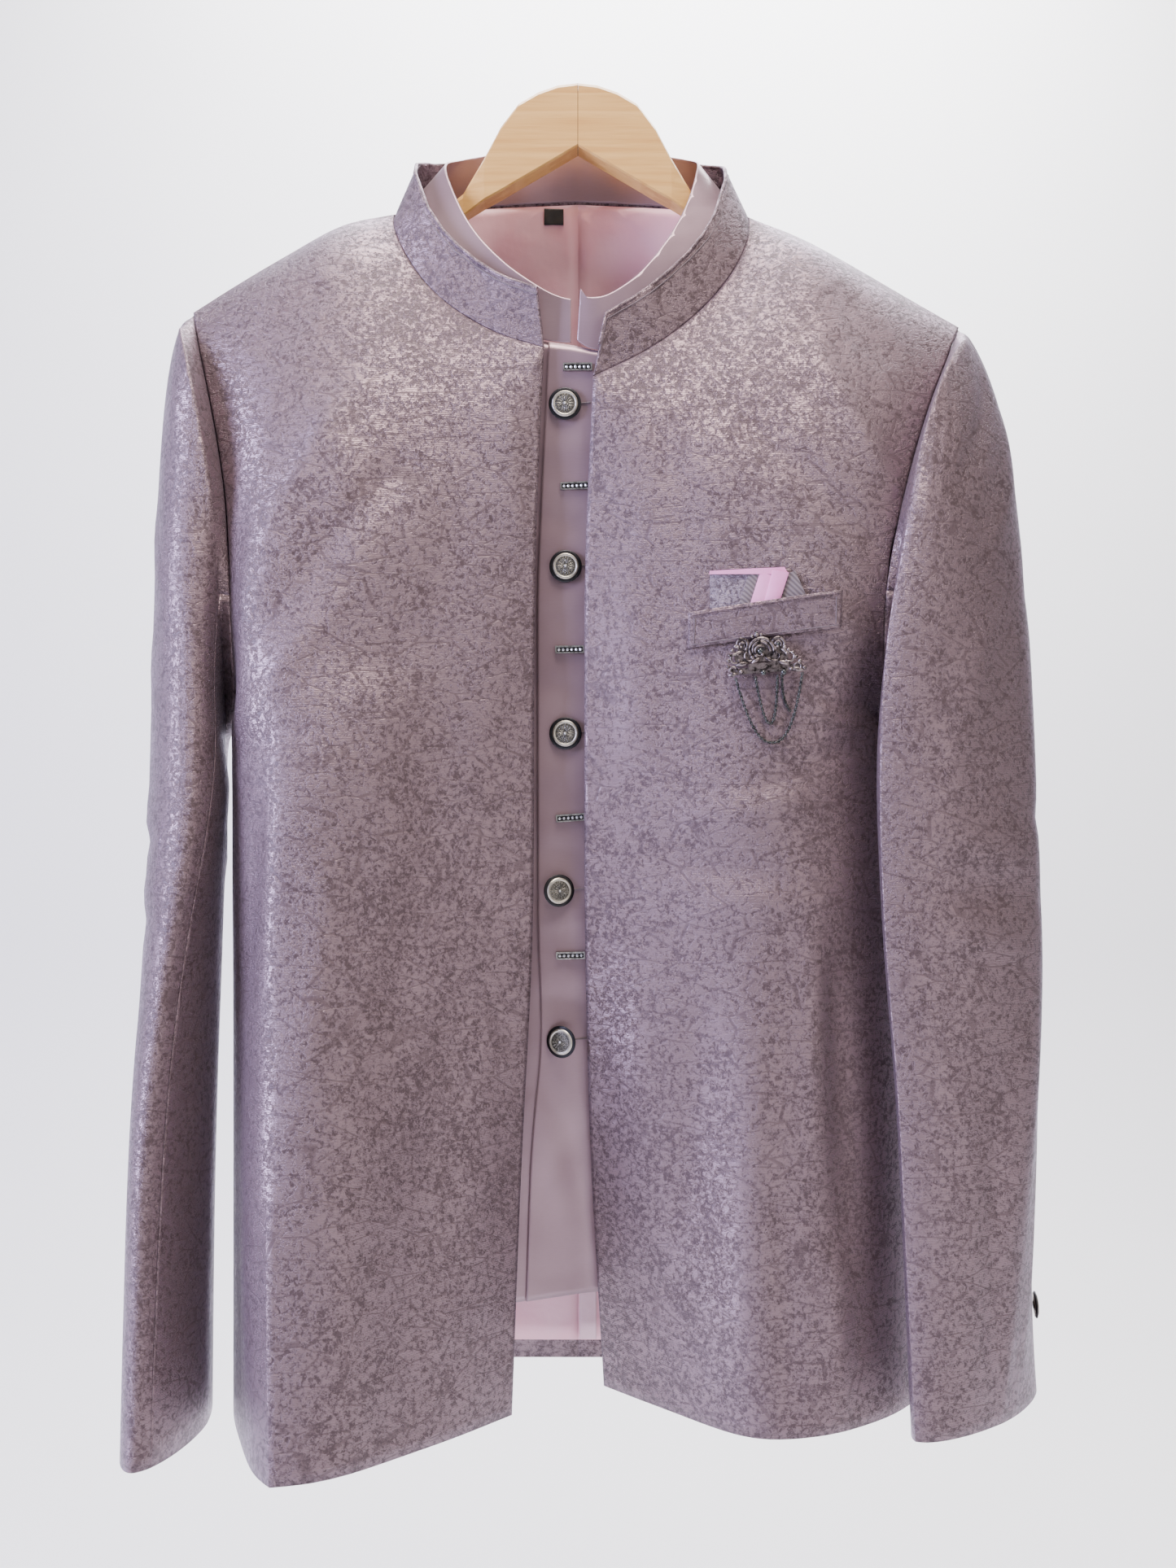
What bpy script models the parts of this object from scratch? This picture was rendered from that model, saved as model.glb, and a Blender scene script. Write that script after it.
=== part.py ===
"""A bandhgala jacket on a wooden hanger, with its satin inner front.

The front looks along -Y, +X is the picture's right, and the origin is the top
of the hanger. Tables are in millimetres and every object is made in metres.
Each cut piece is a wall of cloth lofted through the sections of its table.
"""
import math
from collections import namedtuple

import bmesh
import bpy
import numpy as np
from mathutils import Matrix, Vector

MM = 0.001
WELD = 0.00001

# Driving dimensions in millimetres
CLOTH = 1.5
SATIN = 1.1
LINING = 1.0
SEAM_GAP = 0.3
SET_IN_GAP = 0.9
HEM = -796.0
LINING_HEM = -784.0
LINING_FIRST_ROW = 2
LINING_COLUMNS = 8
HANGER_DEPTH = 17.0
ARM_DEPTH = 12.0
BUTTON_WIDTH = 19.0
CUFF_BUTTON_WIDTH = 16.0
CUFF_BUTTON_PLACES = ((-2, 4), (-2, 4))
BAR_SIZE = (17.0, 2.2, 4.6)
BAR_EDGE = 0.4
CHAIN_WIDTH = 1.3
WELT_CLOTH = 1.4
SQUARE_CLOTH = 0.8
LINING_EASE = 0.8

# A point inside each half of the body, which its outer face looks away from
BODY_MIDDLE = (60.0, 0.0, -420.0)
# How far past an edge the point lies that squares a curve to that edge
SQUARING_STEP = 0.01

# Sections of the fronts, shoulder to hem: front edge, chest, fold, turn to the side, side
Section = namedtuple("Section", "edge chest fold turn side")
FRONT_LEFT = (
    Section((-113, 0, -78), (-142, -1, -84), (-176, -3, -103), (-206, -6, -122), (-233, -10, -141)),
    Section((-109, -14, -97), (-141, -21, -101), (-173, -25, -121), (-201, -26, -141), (-226, -26, -163)),
    Section((-90, -29, -130), (-128, -40, -143), (-165, -46, -166), (-192, -45, -186), (-215, -39, -204)),
    Section((-50, -40, -161), (-100, -54, -198), (-152, -64, -230), (-183, -62, -248), (-204, -50, -262)),
    Section((-19.5, -45.5, -172), (-82, -61, -245), (-152, -76, -290), (-184, -73, -306), (-200.5, -56, -318)),
    Section((-24, -49.5, -290), (-80, -66, -330), (-159, -86, -354), (-188, -77, -362), (-199.5, -50, -366)),
    Section((-25, -50, -375), (-79, -69, -386), (-163, -95, -390), (-190, -76, -392), (-205, 0, -394)),
    Section((-26, -50, -520), (-77, -72, -520), (-165, -107, -520), (-190, -76, -520), (-206, 0, -520)),
    Section((-32, -50, -640), (-76, -77, -640), (-165, -122, -640), (-190, -78, -640), (-207, 0, -640)),
    Section((-38.3, -43, HEM), (-77.7, -83, HEM), (-161, -137, HEM), (-189, -80, HEM), (-208, 0, HEM)),
)
FRONT_RIGHT = (
    Section((105, 0, -80), (135, -1, -92), (168, -4, -111), (200, -7, -131), (231, -10, -150)),
    Section((102, -13, -101), (133, -21, -106), (164, -25, -125), (192, -27, -146), (220, -28, -171)),
    Section((86, -26, -131), (122, -40, -146), (154, -46, -166), (180, -48, -186), (204, -44, -208)),
    Section((44, -43, -171), (92, -57, -203), (135, -65, -228), (165, -65, -249), (187, -57, -262)),
    Section((9.3, -50, -190), (64, -64, -243), (118, -71, -278), (155, -70, -300), (177, -62, -316)),
    Section((4.6, -50.5, -295), (60, -66, -322), (110, -73, -340), (148, -71, -354), (179, -48, -371)),
    Section((4.1, -50, -375), (58, -66, -385), (108, -74, -390), (160, -56, -396), (199, 0, -398)),
    Section((4.5, -45, -520), (55, -64, -520), (106, -76, -520), (162, -57, -520), (201, 0, -520)),
    Section((7.5, -29, -640), (55, -57, -640), (104, -77, -640), (169, -55, -640), (205, 0, -640)),
    Section((15.9, 1, HEM), (54, -37, HEM), (105, -78.5, HEM), (178, -49, HEM), (209, 0, HEM)),
)
FRONT_CORNER = 4

# Sections of the back below the shoulder seam: centre, side, how square the section is
BackSection = namedtuple("BackSection", "centre side square")
BACK = (
    BackSection((102, 16, -72), (229, 10, -160), 1.6),
    BackSection((70, 29, -65), (224, 28, -202), 2.0),
    BackSection((0.0, 37, -59), (216, 38, -262), 2.6),
    BackSection((0.0, 42, -160), (212, 36, -318), 3.0),
    BackSection((0.0, 46, -270), (210, 24, -366), 4.0),
    BackSection((0.0, 48, -385), (1.0, 0, -394), 8.0),
    BackSection((0.0, 49, -520), (1.0, 0, -520), 8.0),
    BackSection((0.0, 49.5, -640), (1.0, 0, -640), 8.0),
    BackSection((0.0, 50, HEM), (1.0, 0, HEM), 8.0),
)
BACK_CORNER = 3
# The shoulder tip the back's side points are given for, and how a shift of it dies out
BACK_TIP = (233.0, -10.0, -141.0)
TIP_FADE = 0.8
BACK_SPLIT = (0.0, 0.4, 0.74, 0.93, 1.0)
ARMHOLE_FOOT = 6

# Steps between one section and the next, down the body and across its panels
DOWN_STEPS = (2, 2, 3, 3, 3, 3, 3, 3, 3)
ACROSS_STEPS = (3, 3, 3, 4)

# Sleeve rings from the armhole down: outer, front crease, inner and back points, and pinch
Ring = namedtuple("Ring", "outer front inner back pinch")
SLEEVE_LEFT = (
    Ring((-242, -13, -151), (-208, -62, -268), (-215, -2, -400), (-222, 44, -270), 1.0),
    Ring((-247, -22, -186), (-212, -66, -308), (-215, -4, -409), (-230, 40, -310), 1.0),
    Ring((-249, -32, -250), (-213, -68, -350), (-213, -8, -419), (-236, 34, -352), 1.0),
    Ring((-250, -38, -335), (-211, -73, -396), (-210, -14, -430), (-240, 28, -400), 1.05),
    Ring((-250.5, -44, -430), (-213, -85, -448), (-209.5, -26, -455), (-243, 20, -450), 1.1),
    Ring((-251, -50, -510), (-224, -92, -510), (-209.5, -32, -510), (-243, 16, -510), 1.15),
    Ring((-253, -56, -600), (-233, -104, -600), (-211, -42, -600), (-241, 12, -600), 1.15),
    Ring((-254, -62, -690), (-236, -112, -690), (-212.5, -50, -690), (-238, 10, -690), 1.15),
    Ring((-254, -66, HEM), (-237.5, -120, HEM), (-213.5, -56, HEM), (-236, 8, HEM), 1.15),
)
SLEEVE_RIGHT = (
    Ring((240, -14, -159), (187, -69, -268), (211, -2, -401), (226, 42, -272), 1.0),
    Ring((252, -28, -197), (179, -77, -312), (213, -4, -410), (238, 38, -308), 1.0),
    Ring((259, -40, -265), (173, -79, -352), (213, -8, -420), (246, 33, -352), 1.0),
    Ring((264, -46, -345), (170, -80, -402), (209, -12, -432), (252, 26, -402), 1.1),
    Ring((266, -50, -435), (170, -80, -455), (210, -14, -462), (257, 20, -455), 1.25),
    Ring((269, -52, -520), (173, -81, -520), (212, -14, -520), (262, 14, -520), 1.3),
    Ring((265, -56, -600), (180, -81, -600), (215, -16, -600), (263, 10, -600), 1.3),
    Ring((258, -58, -690), (184.5, -80, -690), (218, -18, -690), (267, 10, -690), 1.25),
    Ring((252, -49, HEM), (190, -80, HEM), (223, -20, HEM), (279, 9, HEM), 1.1),
)
SLEEVE_STEPS = (1, 1, 1, 1, 1, 1, 2, 2, 2)
FRONT_SEAM = 10
BACK_SEAM = 23

# Largest folds: from and to (x, z), half width and height, on each panel
Fold = namedtuple("Fold", "x0 z0 x1 z1 width height")
FOLDS = {
    "front_left": (
        Fold(-188, -330, -110, -200, 20, 3.0),
        Fold(-182, -420, -105, -350, 22, -3.0),
        Fold(-70, -520, -130, -640, 26, 2.5),
        Fold(-120, -430, -150, -560, 16, -2.5),
    ),
    "front_right": (
        Fold(60, -455, 160, -470, 15, 3.0),
        Fold(70, -500, 165, -505, 14, -3.0),
        Fold(45, -560, 40, -760, 18, 2.5),
        Fold(135, -540, 140, -770, 14, -3.0),
    ),
    "back_left": (Fold(-60, -200, -90, -620, 30, 3.0), Fold(-150, -420, -130, -780, 22, -3.0)),
    "back_right": (Fold(70, -220, 80, -650, 30, 3.0), Fold(150, -430, 140, -780, 22, -3.0)),
}

# Rows over which a fold dies out toward a panel's edge
FOLD_FADE = 3

# Stand collars, from the left front end round the back to the right one:
# share of the way round, and the step from the seam up to the top edge
CollarLean = namedtuple("CollarLean", "around side depth rise")
OUTER_COLLAR = (
    CollarLean(0.00, -4.0, -5.0, 33.0),
    CollarLean(0.10, 7.0, -1.5, 33.0),
    CollarLean(0.25, 14.0, 2.0, 32.0),
    CollarLean(0.38, 10.0, -2.0, 29.0),
    CollarLean(0.50, 0.0, -5.0, 27.0),
    CollarLean(0.62, -12.0, -2.0, 28.0),
    CollarLean(0.75, -15.0, 2.0, 31.0),
    CollarLean(0.90, -6.0, -1.0, 34.0),
    CollarLean(1.00, 7.5, -2.0, 36.0),
)
INNER_COLLAR = (
    CollarLean(0.00, 0.0, -1.0, 25.0),
    CollarLean(0.12, 22.0, -1.0, 31.0),
    CollarLean(0.25, 30.0, 4.0, 30.0),
    CollarLean(0.38, 16.0, -6.0, 32.0),
    CollarLean(0.50, 0.0, -8.0, 30.0),
    CollarLean(0.62, -18.0, -6.0, 31.0),
    CollarLean(0.75, -31.0, 4.0, 30.0),
    CollarLean(0.88, -22.0, -1.0, 32.0),
    CollarLean(1.00, 2.0, -1.0, 30.0),
)
COLLAR_ROWS = 4
INNER_STAND = 4.2
INNER_RISE = 1.5
INNER_CLOSE = 0.12
INNER_ENDS = ((-3.8, -41.5, -168.0), (-0.2, -42.5, -167.0))

# The satin inner front by height: its lapping edge, and how far back it lies
InnerRow = namedtuple("InnerRow", "height lap_edge lap_depth right_depth")
INNER_FRONT = (
    InnerRow(-176, -17.0, -41, -42),
    InnerRow(-219, -19.4, -40, -41),
    InnerRow(-310, -23.7, -39, -40),
    InnerRow(-520, -23.3, -37, -36),
    InnerRow(-575, -20.5, -35, -31),
    InnerRow(-640, -27.5, -31, -22),
    InnerRow(-736, -30.5, -24, -5),
)
INNER_LEFT_LIMITS = (-60.0, 5.0)
INNER_RIGHT_LIMITS = (10.0, 34.0)
INNER_LAYER = SATIN + SEAM_GAP + 0.1
INNER_ROWS = 19
INNER_COLUMNS = 6
INNER_TOP_GAP = 1.0
INNER_TOP_REACH = 12.0

# Pocket and its folded square: corner heights on the front
WELT = ((63.5, -349.5), (148.6, -338.1), (148.7, -317.6), (64.0, -329.9))
SQUARE_PATTERN = ((75.5, -332.0), (97.0, -330.0), (96.5, -305.0), (76.0, -307.0))
SQUARE_PINK = ((98.5, -330.0), (112.0, -328.0), (118.0, -304.5), (96.0, -303.5))
SQUARE_GREY = ((113.0, -328.0), (128.0, -325.0), (131.0, -320.5), (121.0, -305.0))
PATCH_GAP = 0.5
WELT_STAND = 3.6
PINK_LIFT = 1.6
LABEL = ((-21.5, -72.0), (-9.5, -72.0), (-9.5, -62.5), (-21.5, -62.5))
PLEAT = ((1.0, -783.0), (11.5, -783.0), (11.5, -640.0), (1.0, -640.0))

# Buttons and bars on the lapping inner front: x, z and the turn to the side in degrees
Fastener = namedtuple("Fastener", "name x z tilt")
BUTTONS = (
    Fastener("button_1", -7.3, -204.2, 0),
    Fastener("button_2", -6.9, -299.2, 0),
    Fastener("button_3", -6.9, -397.1, 3),
    Fastener("button_4", -11.6, -489.3, -22),
    Fastener("button_5", -9.3, -578.0, 26),
)
# The button's outline from the top of its dome to the foot of its shank
ProfilePoint = namedtuple("ProfilePoint", "share height")
BUTTON_PROFILE = (
    ProfilePoint(0.0, 3.6),
    ProfilePoint(0.5, 3.4),
    ProfilePoint(0.76, 2.8),
    ProfilePoint(0.88, 3.1),
    ProfilePoint(1.0, 2.0),
    ProfilePoint(0.9, 0.9),
    ProfilePoint(0.3, 0.6),
    ProfilePoint(0.26, 0.0),
    ProfilePoint(0.0, 0.0),
)
BUTTON_STEPS = 16
BUTTON_CLEAR = 0.5
BARS = (
    Fastener("bar_1", 0.2, -182.5, 0),
    Fastener("bar_2", -1.4, -251.9, -2),
    Fastener("bar_3", -4.5, -347.8, -1),
    Fastener("bar_4", -4.1, -446.6, -4),
    Fastener("bar_5", -4.1, -527.7, -1),
)

# Hanger outline of one half, from the crown to the arm's end: x, top and bottom
HangerStation = namedtuple("HangerStation", "x top bottom")
HANGER = (
    HangerStation(0.2, 0.0, -39.0),
    HangerStation(12, -1.4, -46.0),
    HangerStation(24, -5.6, -53.0),
    HangerStation(36, -12.6, -60.0),
    HangerStation(47, -27.0, -66.5),
    HangerStation(57, -46.0, -72.0),
    HangerStation(70, -66.0, -81.0),
    HangerStation(84, -77.5, -92.5),
    HangerStation(104, -94.5, -108.0),
)
ARM_SHARES = (0.25, 0.45, 0.65, 0.82)
ARM_HEIGHT = 14.0
ARM_DROP = 3.6
ARM_STEP = 1.5
ARM_STATIONS = 3
ARM_FORWARD = 0.04
ARM_BEND = 100.0
HANGER_CORNER = 2.5
ARM_CORNER = 4.0
HANGER_FOOT = 1.0

# Brooch: x, z on the front
BROOCH_CENTRE = (105.5, -354.0)
BROOCH_TURN = math.radians(-5)
BROOCH_LIFT = 2.9
BROOCH_THICK = 2.0
BROOCH_BAR = ((-23.0, -11.0), (-11.5, -13.0), (0.0, -12.0), (11.5, -13.0), (23.0, -11.0))
BROOCH_FAN = (22.0, 20.0, -7.0)
BROOCH_LOBES = 7
LOBE_DEPTH = 0.13
LOBE_SINK = 0.05
FAN_SQUARE = 0.8
LOBE_STEPS = 4
# Round holes through the plate: middle x and y, and radius
PlateHole = namedtuple("PlateHole", "x y radius")
BROOCH_HOLES = (
    PlateHole(0.0, 2.0, 3.4),
    PlateHole(-9.0, -1.0, 2.4),
    PlateHole(9.0, -1.0, 2.4),
    PlateHole(-15.5, -5.5, 1.6),
    PlateHole(15.5, -5.5, 1.6),
)
HOLE_SIDES = 10
CHAIN_STEPS = 14
CHAIN_SAG = 2.4
# Chains, about the brooch's middle: where the first end hangs from the bar, the lowest
# point, and the last end, which hangs from the bar too unless it has a height of its own
ChainLine = namedtuple("ChainLine", "first low_x low_y last last_y")
CHAINS = {
    "chain_outer": ChainLine(-17.5, 0.0, -50.0, 20.0, None),
    "chain_inner": ChainLine(-6.5, 0.0, -39.0, 6.0, None),
    "chain_drop": ChainLine(8.6, 7.6, -25.0, 12.0, -33.0),
}

SHADES = {
    "jacquard": ((0.300, 0.250, 0.330), 0.42, 0.0),
    "satin": ((0.330, 0.265, 0.310), 0.38, 0.0),
    "lining_pink": ((0.760, 0.420, 0.560), 0.45, 0.0),
    "pleat_pink": ((0.800, 0.560, 0.660), 0.45, 0.0),
    "label_black": ((0.012, 0.012, 0.014), 0.60, 0.0),
    "square_pink": ((0.850, 0.430, 0.640), 0.50, 0.0),
    "square_grey": ((0.260, 0.220, 0.250), 0.55, 0.0),
    "antique_silver": ((0.300, 0.290, 0.280), 0.35, 1.0),
    "wood": ((0.720, 0.470, 0.200), 0.45, 0.0),
}


def clear_scene():
    for item in list(bpy.data.objects):
        bpy.data.objects.remove(item, do_unlink=True)


def make_collection(name):
    group = bpy.data.collections.new(name)
    bpy.context.scene.collection.children.link(group)
    return group


def make_material(name):
    colour, roughness, metallic = SHADES[name]
    material = bpy.data.materials.new(name)
    material.use_nodes = True
    shader = material.node_tree.nodes["Principled BSDF"]
    shader.inputs["Base Color"].default_value = (*colour, 1.0)
    shader.inputs["Roughness"].default_value = roughness
    shader.inputs["Metallic"].default_value = metallic
    return material


def slopes(points, before, after):
    """Slope at each point of a smooth curve spaced by its chords."""
    whole = [p for p in (before,) if p is not None] + list(points)
    whole += [p for p in (after,) if p is not None]
    whole = np.array(whole, float)
    chords = np.maximum(np.linalg.norm(np.diff(whole, axis=0), axis=1), 1e-6)
    steps = np.diff(whole, axis=0) / chords[:, None]
    result = [steps[0]]
    for i in range(1, len(whole) - 1):
        share = chords[i] / (chords[i - 1] + chords[i])
        result.append(steps[i - 1] * share + steps[i] * (1 - share))
    result.append(steps[-1])
    first = 0 if before is None else 1
    return result[first:first + len(points)]


def smooth_curve(points, steps, before=None, after=None, corner=None, past_corner=None):
    """Points along a smooth curve through the given ones, sharp at one corner."""
    points = np.array(points, float)
    if corner is not None:
        upper = smooth_curve(points[:corner + 1], steps[:corner], before=before, after=past_corner)
        lower = smooth_curve(points[corner:], steps[corner:], after=after)
        return np.vstack([upper, lower[1:]])
    slope = slopes(points, before, after)
    result = [points[0]]
    for i, count in enumerate(steps):
        start, end = points[i], points[i + 1]
        reach = np.linalg.norm(end - start)
        for k in range(1, count + 1):
            t = k / count
            rise = t * t * (3 - 2 * t)
            lead = t * (1 - t) ** 2 * reach
            trail = -t * t * (1 - t) * reach
            result.append(start * (1 - rise) + end * rise + slope[i] * lead + slope[i + 1] * trail)
    return np.array(result)


def section_array(rows):
    return np.array([[row.edge, row.chest, row.fold, row.turn, row.side] for row in rows], float)


def back_sections(front, hand):
    """Sections of half the back: the front's shoulder seam, then the back's own rows."""
    rows = [front[0]]
    for index, row in enumerate(BACK):
        centre = np.array((hand * row.centre[0], row.centre[1], row.centre[2]), float)
        if index + 1 >= ARMHOLE_FOOT:
            side = front[index + 1][4]
        else:
            tip = np.array((hand * BACK_TIP[0], BACK_TIP[1], BACK_TIP[2]))
            drop = (front[0][4] - tip) * TIP_FADE ** (index + 1)
            side = np.array((hand * row.side[0], row.side[1], row.side[2]), float) + drop
        stations = []
        for share in BACK_SPLIT:
            place = centre + (side - centre) * share
            place[1] = side[1] + (centre[1] - side[1]) * (1 - share ** row.square)
            stations.append(place)
        rows.append(stations)
    return np.array(rows)


def down_columns(sections, other, neck_corner):
    """Each station followed down the panel, with corners at the neck and under the arm."""
    columns = []
    for station in range(sections.shape[1]):
        corner, past = None, None
        if station == 0:
            corner = neck_corner
        elif station == sections.shape[1] - 1:
            corner, past = ARMHOLE_FOOT, other[ARMHOLE_FOOT - 1][station]
        columns.append(smooth_curve(
            sections[:, station], DOWN_STEPS, before=other[1][station], corner=corner, past_corner=past))
    return np.array(columns).transpose(1, 0, 2)


def across_rows(columns, toward, centre_row=None):
    """The panel's points, row by row, square to the side seam and to the centre back."""
    foot = sum(DOWN_STEPS[:ARMHOLE_FOOT])
    grid = []
    for index, stations in enumerate(columns):
        after, before = None, None
        if index >= foot:
            after = stations[-1] + np.array((0.0, toward * SQUARING_STEP, 0.0))
        if centre_row is not None and index >= centre_row:
            before = stations[0] - np.array((np.sign(stations[-1][0]) * SQUARING_STEP, 0.0, 0.0))
        grid.append(smooth_curve(stations, ACROSS_STEPS, before=before, after=after))
    return np.array(grid)


def grid_normals(grid, centre):
    """Unit normals of a grid of points, pointing away from a centre for each row."""
    down = np.gradient(grid, axis=0)
    along = np.gradient(grid, axis=1)
    normals = np.cross(along, down)
    normals /= np.maximum(np.linalg.norm(normals, axis=2, keepdims=True), 1e-9)
    outward = grid - np.array(centre)
    if np.sum(normals * outward) < 0:
        normals = -normals
    return normals


def rim_mask(shape):
    mask = np.zeros(shape[:2], bool)
    mask[0, :] = mask[-1, :] = True
    mask[:, 0] = mask[:, -1] = True
    return mask


def share_seam_normals(panels, reach=0.6):
    """Where panels meet, both take the mean normal, so that their edges run parallel."""
    owners, places, values = [], [], []
    for name, panel in panels.items():
        for i, j in np.argwhere(rim_mask(panel["grid"].shape)):
            owners.append((name, i, j))
            places.append(panel["grid"][i, j])
            values.append(panel["normals"][i, j])
    places, values = np.array(places), np.array(values)
    for index, (name, i, j) in enumerate(owners):
        near = np.linalg.norm(places - places[index], axis=1) < reach
        mean = values[near].sum(axis=0)
        panels[name]["normals"][i, j] = mean / np.linalg.norm(mean)


def inward_step(edge, normals, neighbours):
    """Unit steps from an edge into its panel, square to the edge."""
    steps = np.cross(normals, np.gradient(edge, axis=0))
    steps /= np.maximum(np.linalg.norm(steps, axis=1, keepdims=True), 1e-9)
    facing = np.sum(steps * (neighbours - edge), axis=1, keepdims=True)
    return np.where(facing < 0, -steps, steps)


def inset_rim(grid, normals, by, first_row_by):
    """Move the edge rows and columns of a panel in by half a seam gap."""
    result = grid.copy()
    for own, inner in ((0, 1), (-1, -2)):
        row_by = first_row_by if own == 0 else by
        result[own] += inward_step(grid[own], normals[own], grid[inner]) * row_by
        result[:, own] += inward_step(grid[:, own], normals[:, own], grid[:, inner]) * by
    return result


def raise_folds(grid, normals, folds):
    """Push the panel out along its largest folds, fading to nothing at its seams."""
    rows, columns = grid.shape[:2]
    down = np.minimum(np.arange(rows), np.arange(rows)[::-1])[:, None]
    along = np.minimum(np.arange(columns), np.arange(columns)[::-1])[None, :]
    fade = np.clip(down / FOLD_FADE, 0, 1) * np.clip(along / FOLD_FADE, 0, 1)
    result = grid.copy()
    for fold in folds:
        start = np.array((fold.x0, fold.z0), float)
        line = np.array((fold.x1, fold.z1), float) - start
        offset = grid[:, :, (0, 2)] - start
        share = np.clip(offset @ line / (line @ line), 0, 1)
        gap = np.linalg.norm(offset - share[:, :, None] * line, axis=2)
        height = fold.height * np.exp(-(gap / fold.width) ** 2) * fade
        result += normals * height[:, :, None]
    return result


def wall_mesh(name, outer, inner):
    """A closed wall between two grids of points given in millimetres."""
    rows, columns = outer.shape[:2]
    mesh = bpy.data.meshes.new(name)
    shape = bmesh.new()
    skins = []
    for grid in (outer, inner):
        skins.append([[shape.verts.new(p * MM) for p in row] for row in grid])
    front, rear = skins
    for i in range(rows - 1):
        for j in range(columns - 1):
            shape.faces.new((front[i][j], front[i][j + 1], front[i + 1][j + 1], front[i + 1][j]))
            shape.faces.new((rear[i][j], rear[i + 1][j], rear[i + 1][j + 1], rear[i][j + 1]))
    for i in range(rows - 1):
        for j in (0, columns - 1):
            shape.faces.new((front[i][j], front[i + 1][j], rear[i + 1][j], rear[i][j]))
    for j in range(columns - 1):
        for i in (0, rows - 1):
            shape.faces.new((front[i][j], front[i][j + 1], rear[i][j + 1], rear[i][j]))
    bmesh.ops.recalc_face_normals(shape, faces=shape.faces)
    if shape.calc_volume(signed=True) < 0:
        bmesh.ops.reverse_faces(shape, faces=shape.faces)
    shape.to_mesh(mesh)
    shape.free()
    return mesh


def add_object(name, mesh, material, group):
    mesh.shade_smooth()
    mesh.set_sharp_from_angle(angle=math.radians(50))
    item = bpy.data.objects.new(name, mesh)
    item.data.materials.clear()
    item.data.materials.append(material)
    group.objects.link(item)
    return item


def add_wall(name, grid, normals, thickness, material, group, first_gap=SEAM_GAP):
    outer = inset_rim(grid, normals, SEAM_GAP / 2, first_gap / 2)
    return add_object(name, wall_mesh(name, outer, outer - normals * thickness), material, group)


def surface_point(panel, x, z):
    """The point and normal of a panel at a place seen from the front."""
    grid, normals = panel["grid"], panel["normals"]
    flat = grid[:, :, (0, 2)]
    target = np.array((x, z), float)
    best = None
    for i in range(grid.shape[0] - 1):
        for j in range(grid.shape[1] - 1):
            for corners in (((i, j), (i, j + 1), (i + 1, j)), ((i + 1, j + 1), (i + 1, j), (i, j + 1))):
                a, b, c = (flat[k] for k in corners)
                sides = np.array((b - a, c - a)).T
                if abs(np.linalg.det(sides)) < 1e-6:
                    continue
                s, t = np.linalg.solve(sides, target - a)
                miss = max(-s, -t, s + t - 1, 0.0)
                if best is None or miss < best[0]:
                    best = (miss, corners, s, t)
        if best is not None and best[0] == 0.0:
            break
    _, corners, s, t = best
    weights = (1 - s - t, s, t)
    place = sum(w * grid[k] for w, k in zip(weights, corners))
    normal = sum(w * normals[k] for w, k in zip(weights, corners))
    return place, normal / np.linalg.norm(normal)


def surface_patch(panel, corners, low_lift, high_lift, steps=(6, 3)):
    """A grid over a four-cornered place on a panel, moved out from its points."""
    low_left, low_right, high_right, high_left = (np.array(c, float) for c in corners)
    grid, normals = [], []
    for i in range(steps[1] + 1):
        up = i / steps[1]
        left = low_left * (1 - up) + high_left * up
        right = low_right * (1 - up) + high_right * up
        places = [surface_point(panel, *(left + (right - left) * j / steps[0]))
                  for j in range(steps[0] + 1)]
        lift = low_lift * (1 - up) + high_lift * up
        grid.append([p + n * lift for p, n in places])
        normals.append([n for _, n in places])
    return np.array(grid), np.array(normals)


def body_panels():
    """The four body pieces, each running smoothly on over the seams."""
    panels = {}
    for side, hand, table in (("left", -1, FRONT_LEFT), ("right", 1, FRONT_RIGHT)):
        front = section_array(table)
        back = back_sections(front, hand)
        grids = {
            "front_" + side: across_rows(down_columns(front, back, FRONT_CORNER), 1),
            "back_" + side: across_rows(
                down_columns(back, front, BACK_CORNER), -1, sum(DOWN_STEPS[:BACK_CORNER])),
        }
        middle = (hand * BODY_MIDDLE[0], BODY_MIDDLE[1], BODY_MIDDLE[2])
        for name, grid in grids.items():
            raised = raise_folds(grid, grid_normals(grid, middle), FOLDS[name])
            panels[name] = {"grid": raised, "normals": grid_normals(raised, middle)}
    return panels


def ring_points(ring, count):
    """One closed sleeve section through its four named points."""
    cardinal = [np.array(p, float) for p in (ring.outer, ring.front, ring.inner, ring.back)]
    centre = sum(cardinal) / 4
    outer, front, inner, back = (p - centre for p in cardinal)
    points = []
    for k in range(count):
        angle = 2 * math.pi * k / count
        across, along = math.cos(angle), math.sin(angle)
        toward = outer if across >= 0 else inner
        forward = front if along >= 0 else back
        points.append(centre + toward * abs(across) ** ring.pinch + forward * abs(along) ** ring.pinch)
    return np.array(points)


def sleeve_rings(front, back, rings):
    """All rings of a sleeve, the first one being the armhole's own edge."""
    foot = sum(DOWN_STEPS[:ARMHOLE_FOOT])
    armhole = np.vstack([front[:foot + 1, -1], back[1:foot, -1][::-1]])
    count = len(armhole)
    table = [armhole] + [ring_points(ring, count) for ring in rings]
    columns = [smooth_curve([ring[k] for ring in table], SLEEVE_STEPS) for k in range(count)]
    return np.array(columns).transpose(1, 0, 2)


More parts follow.
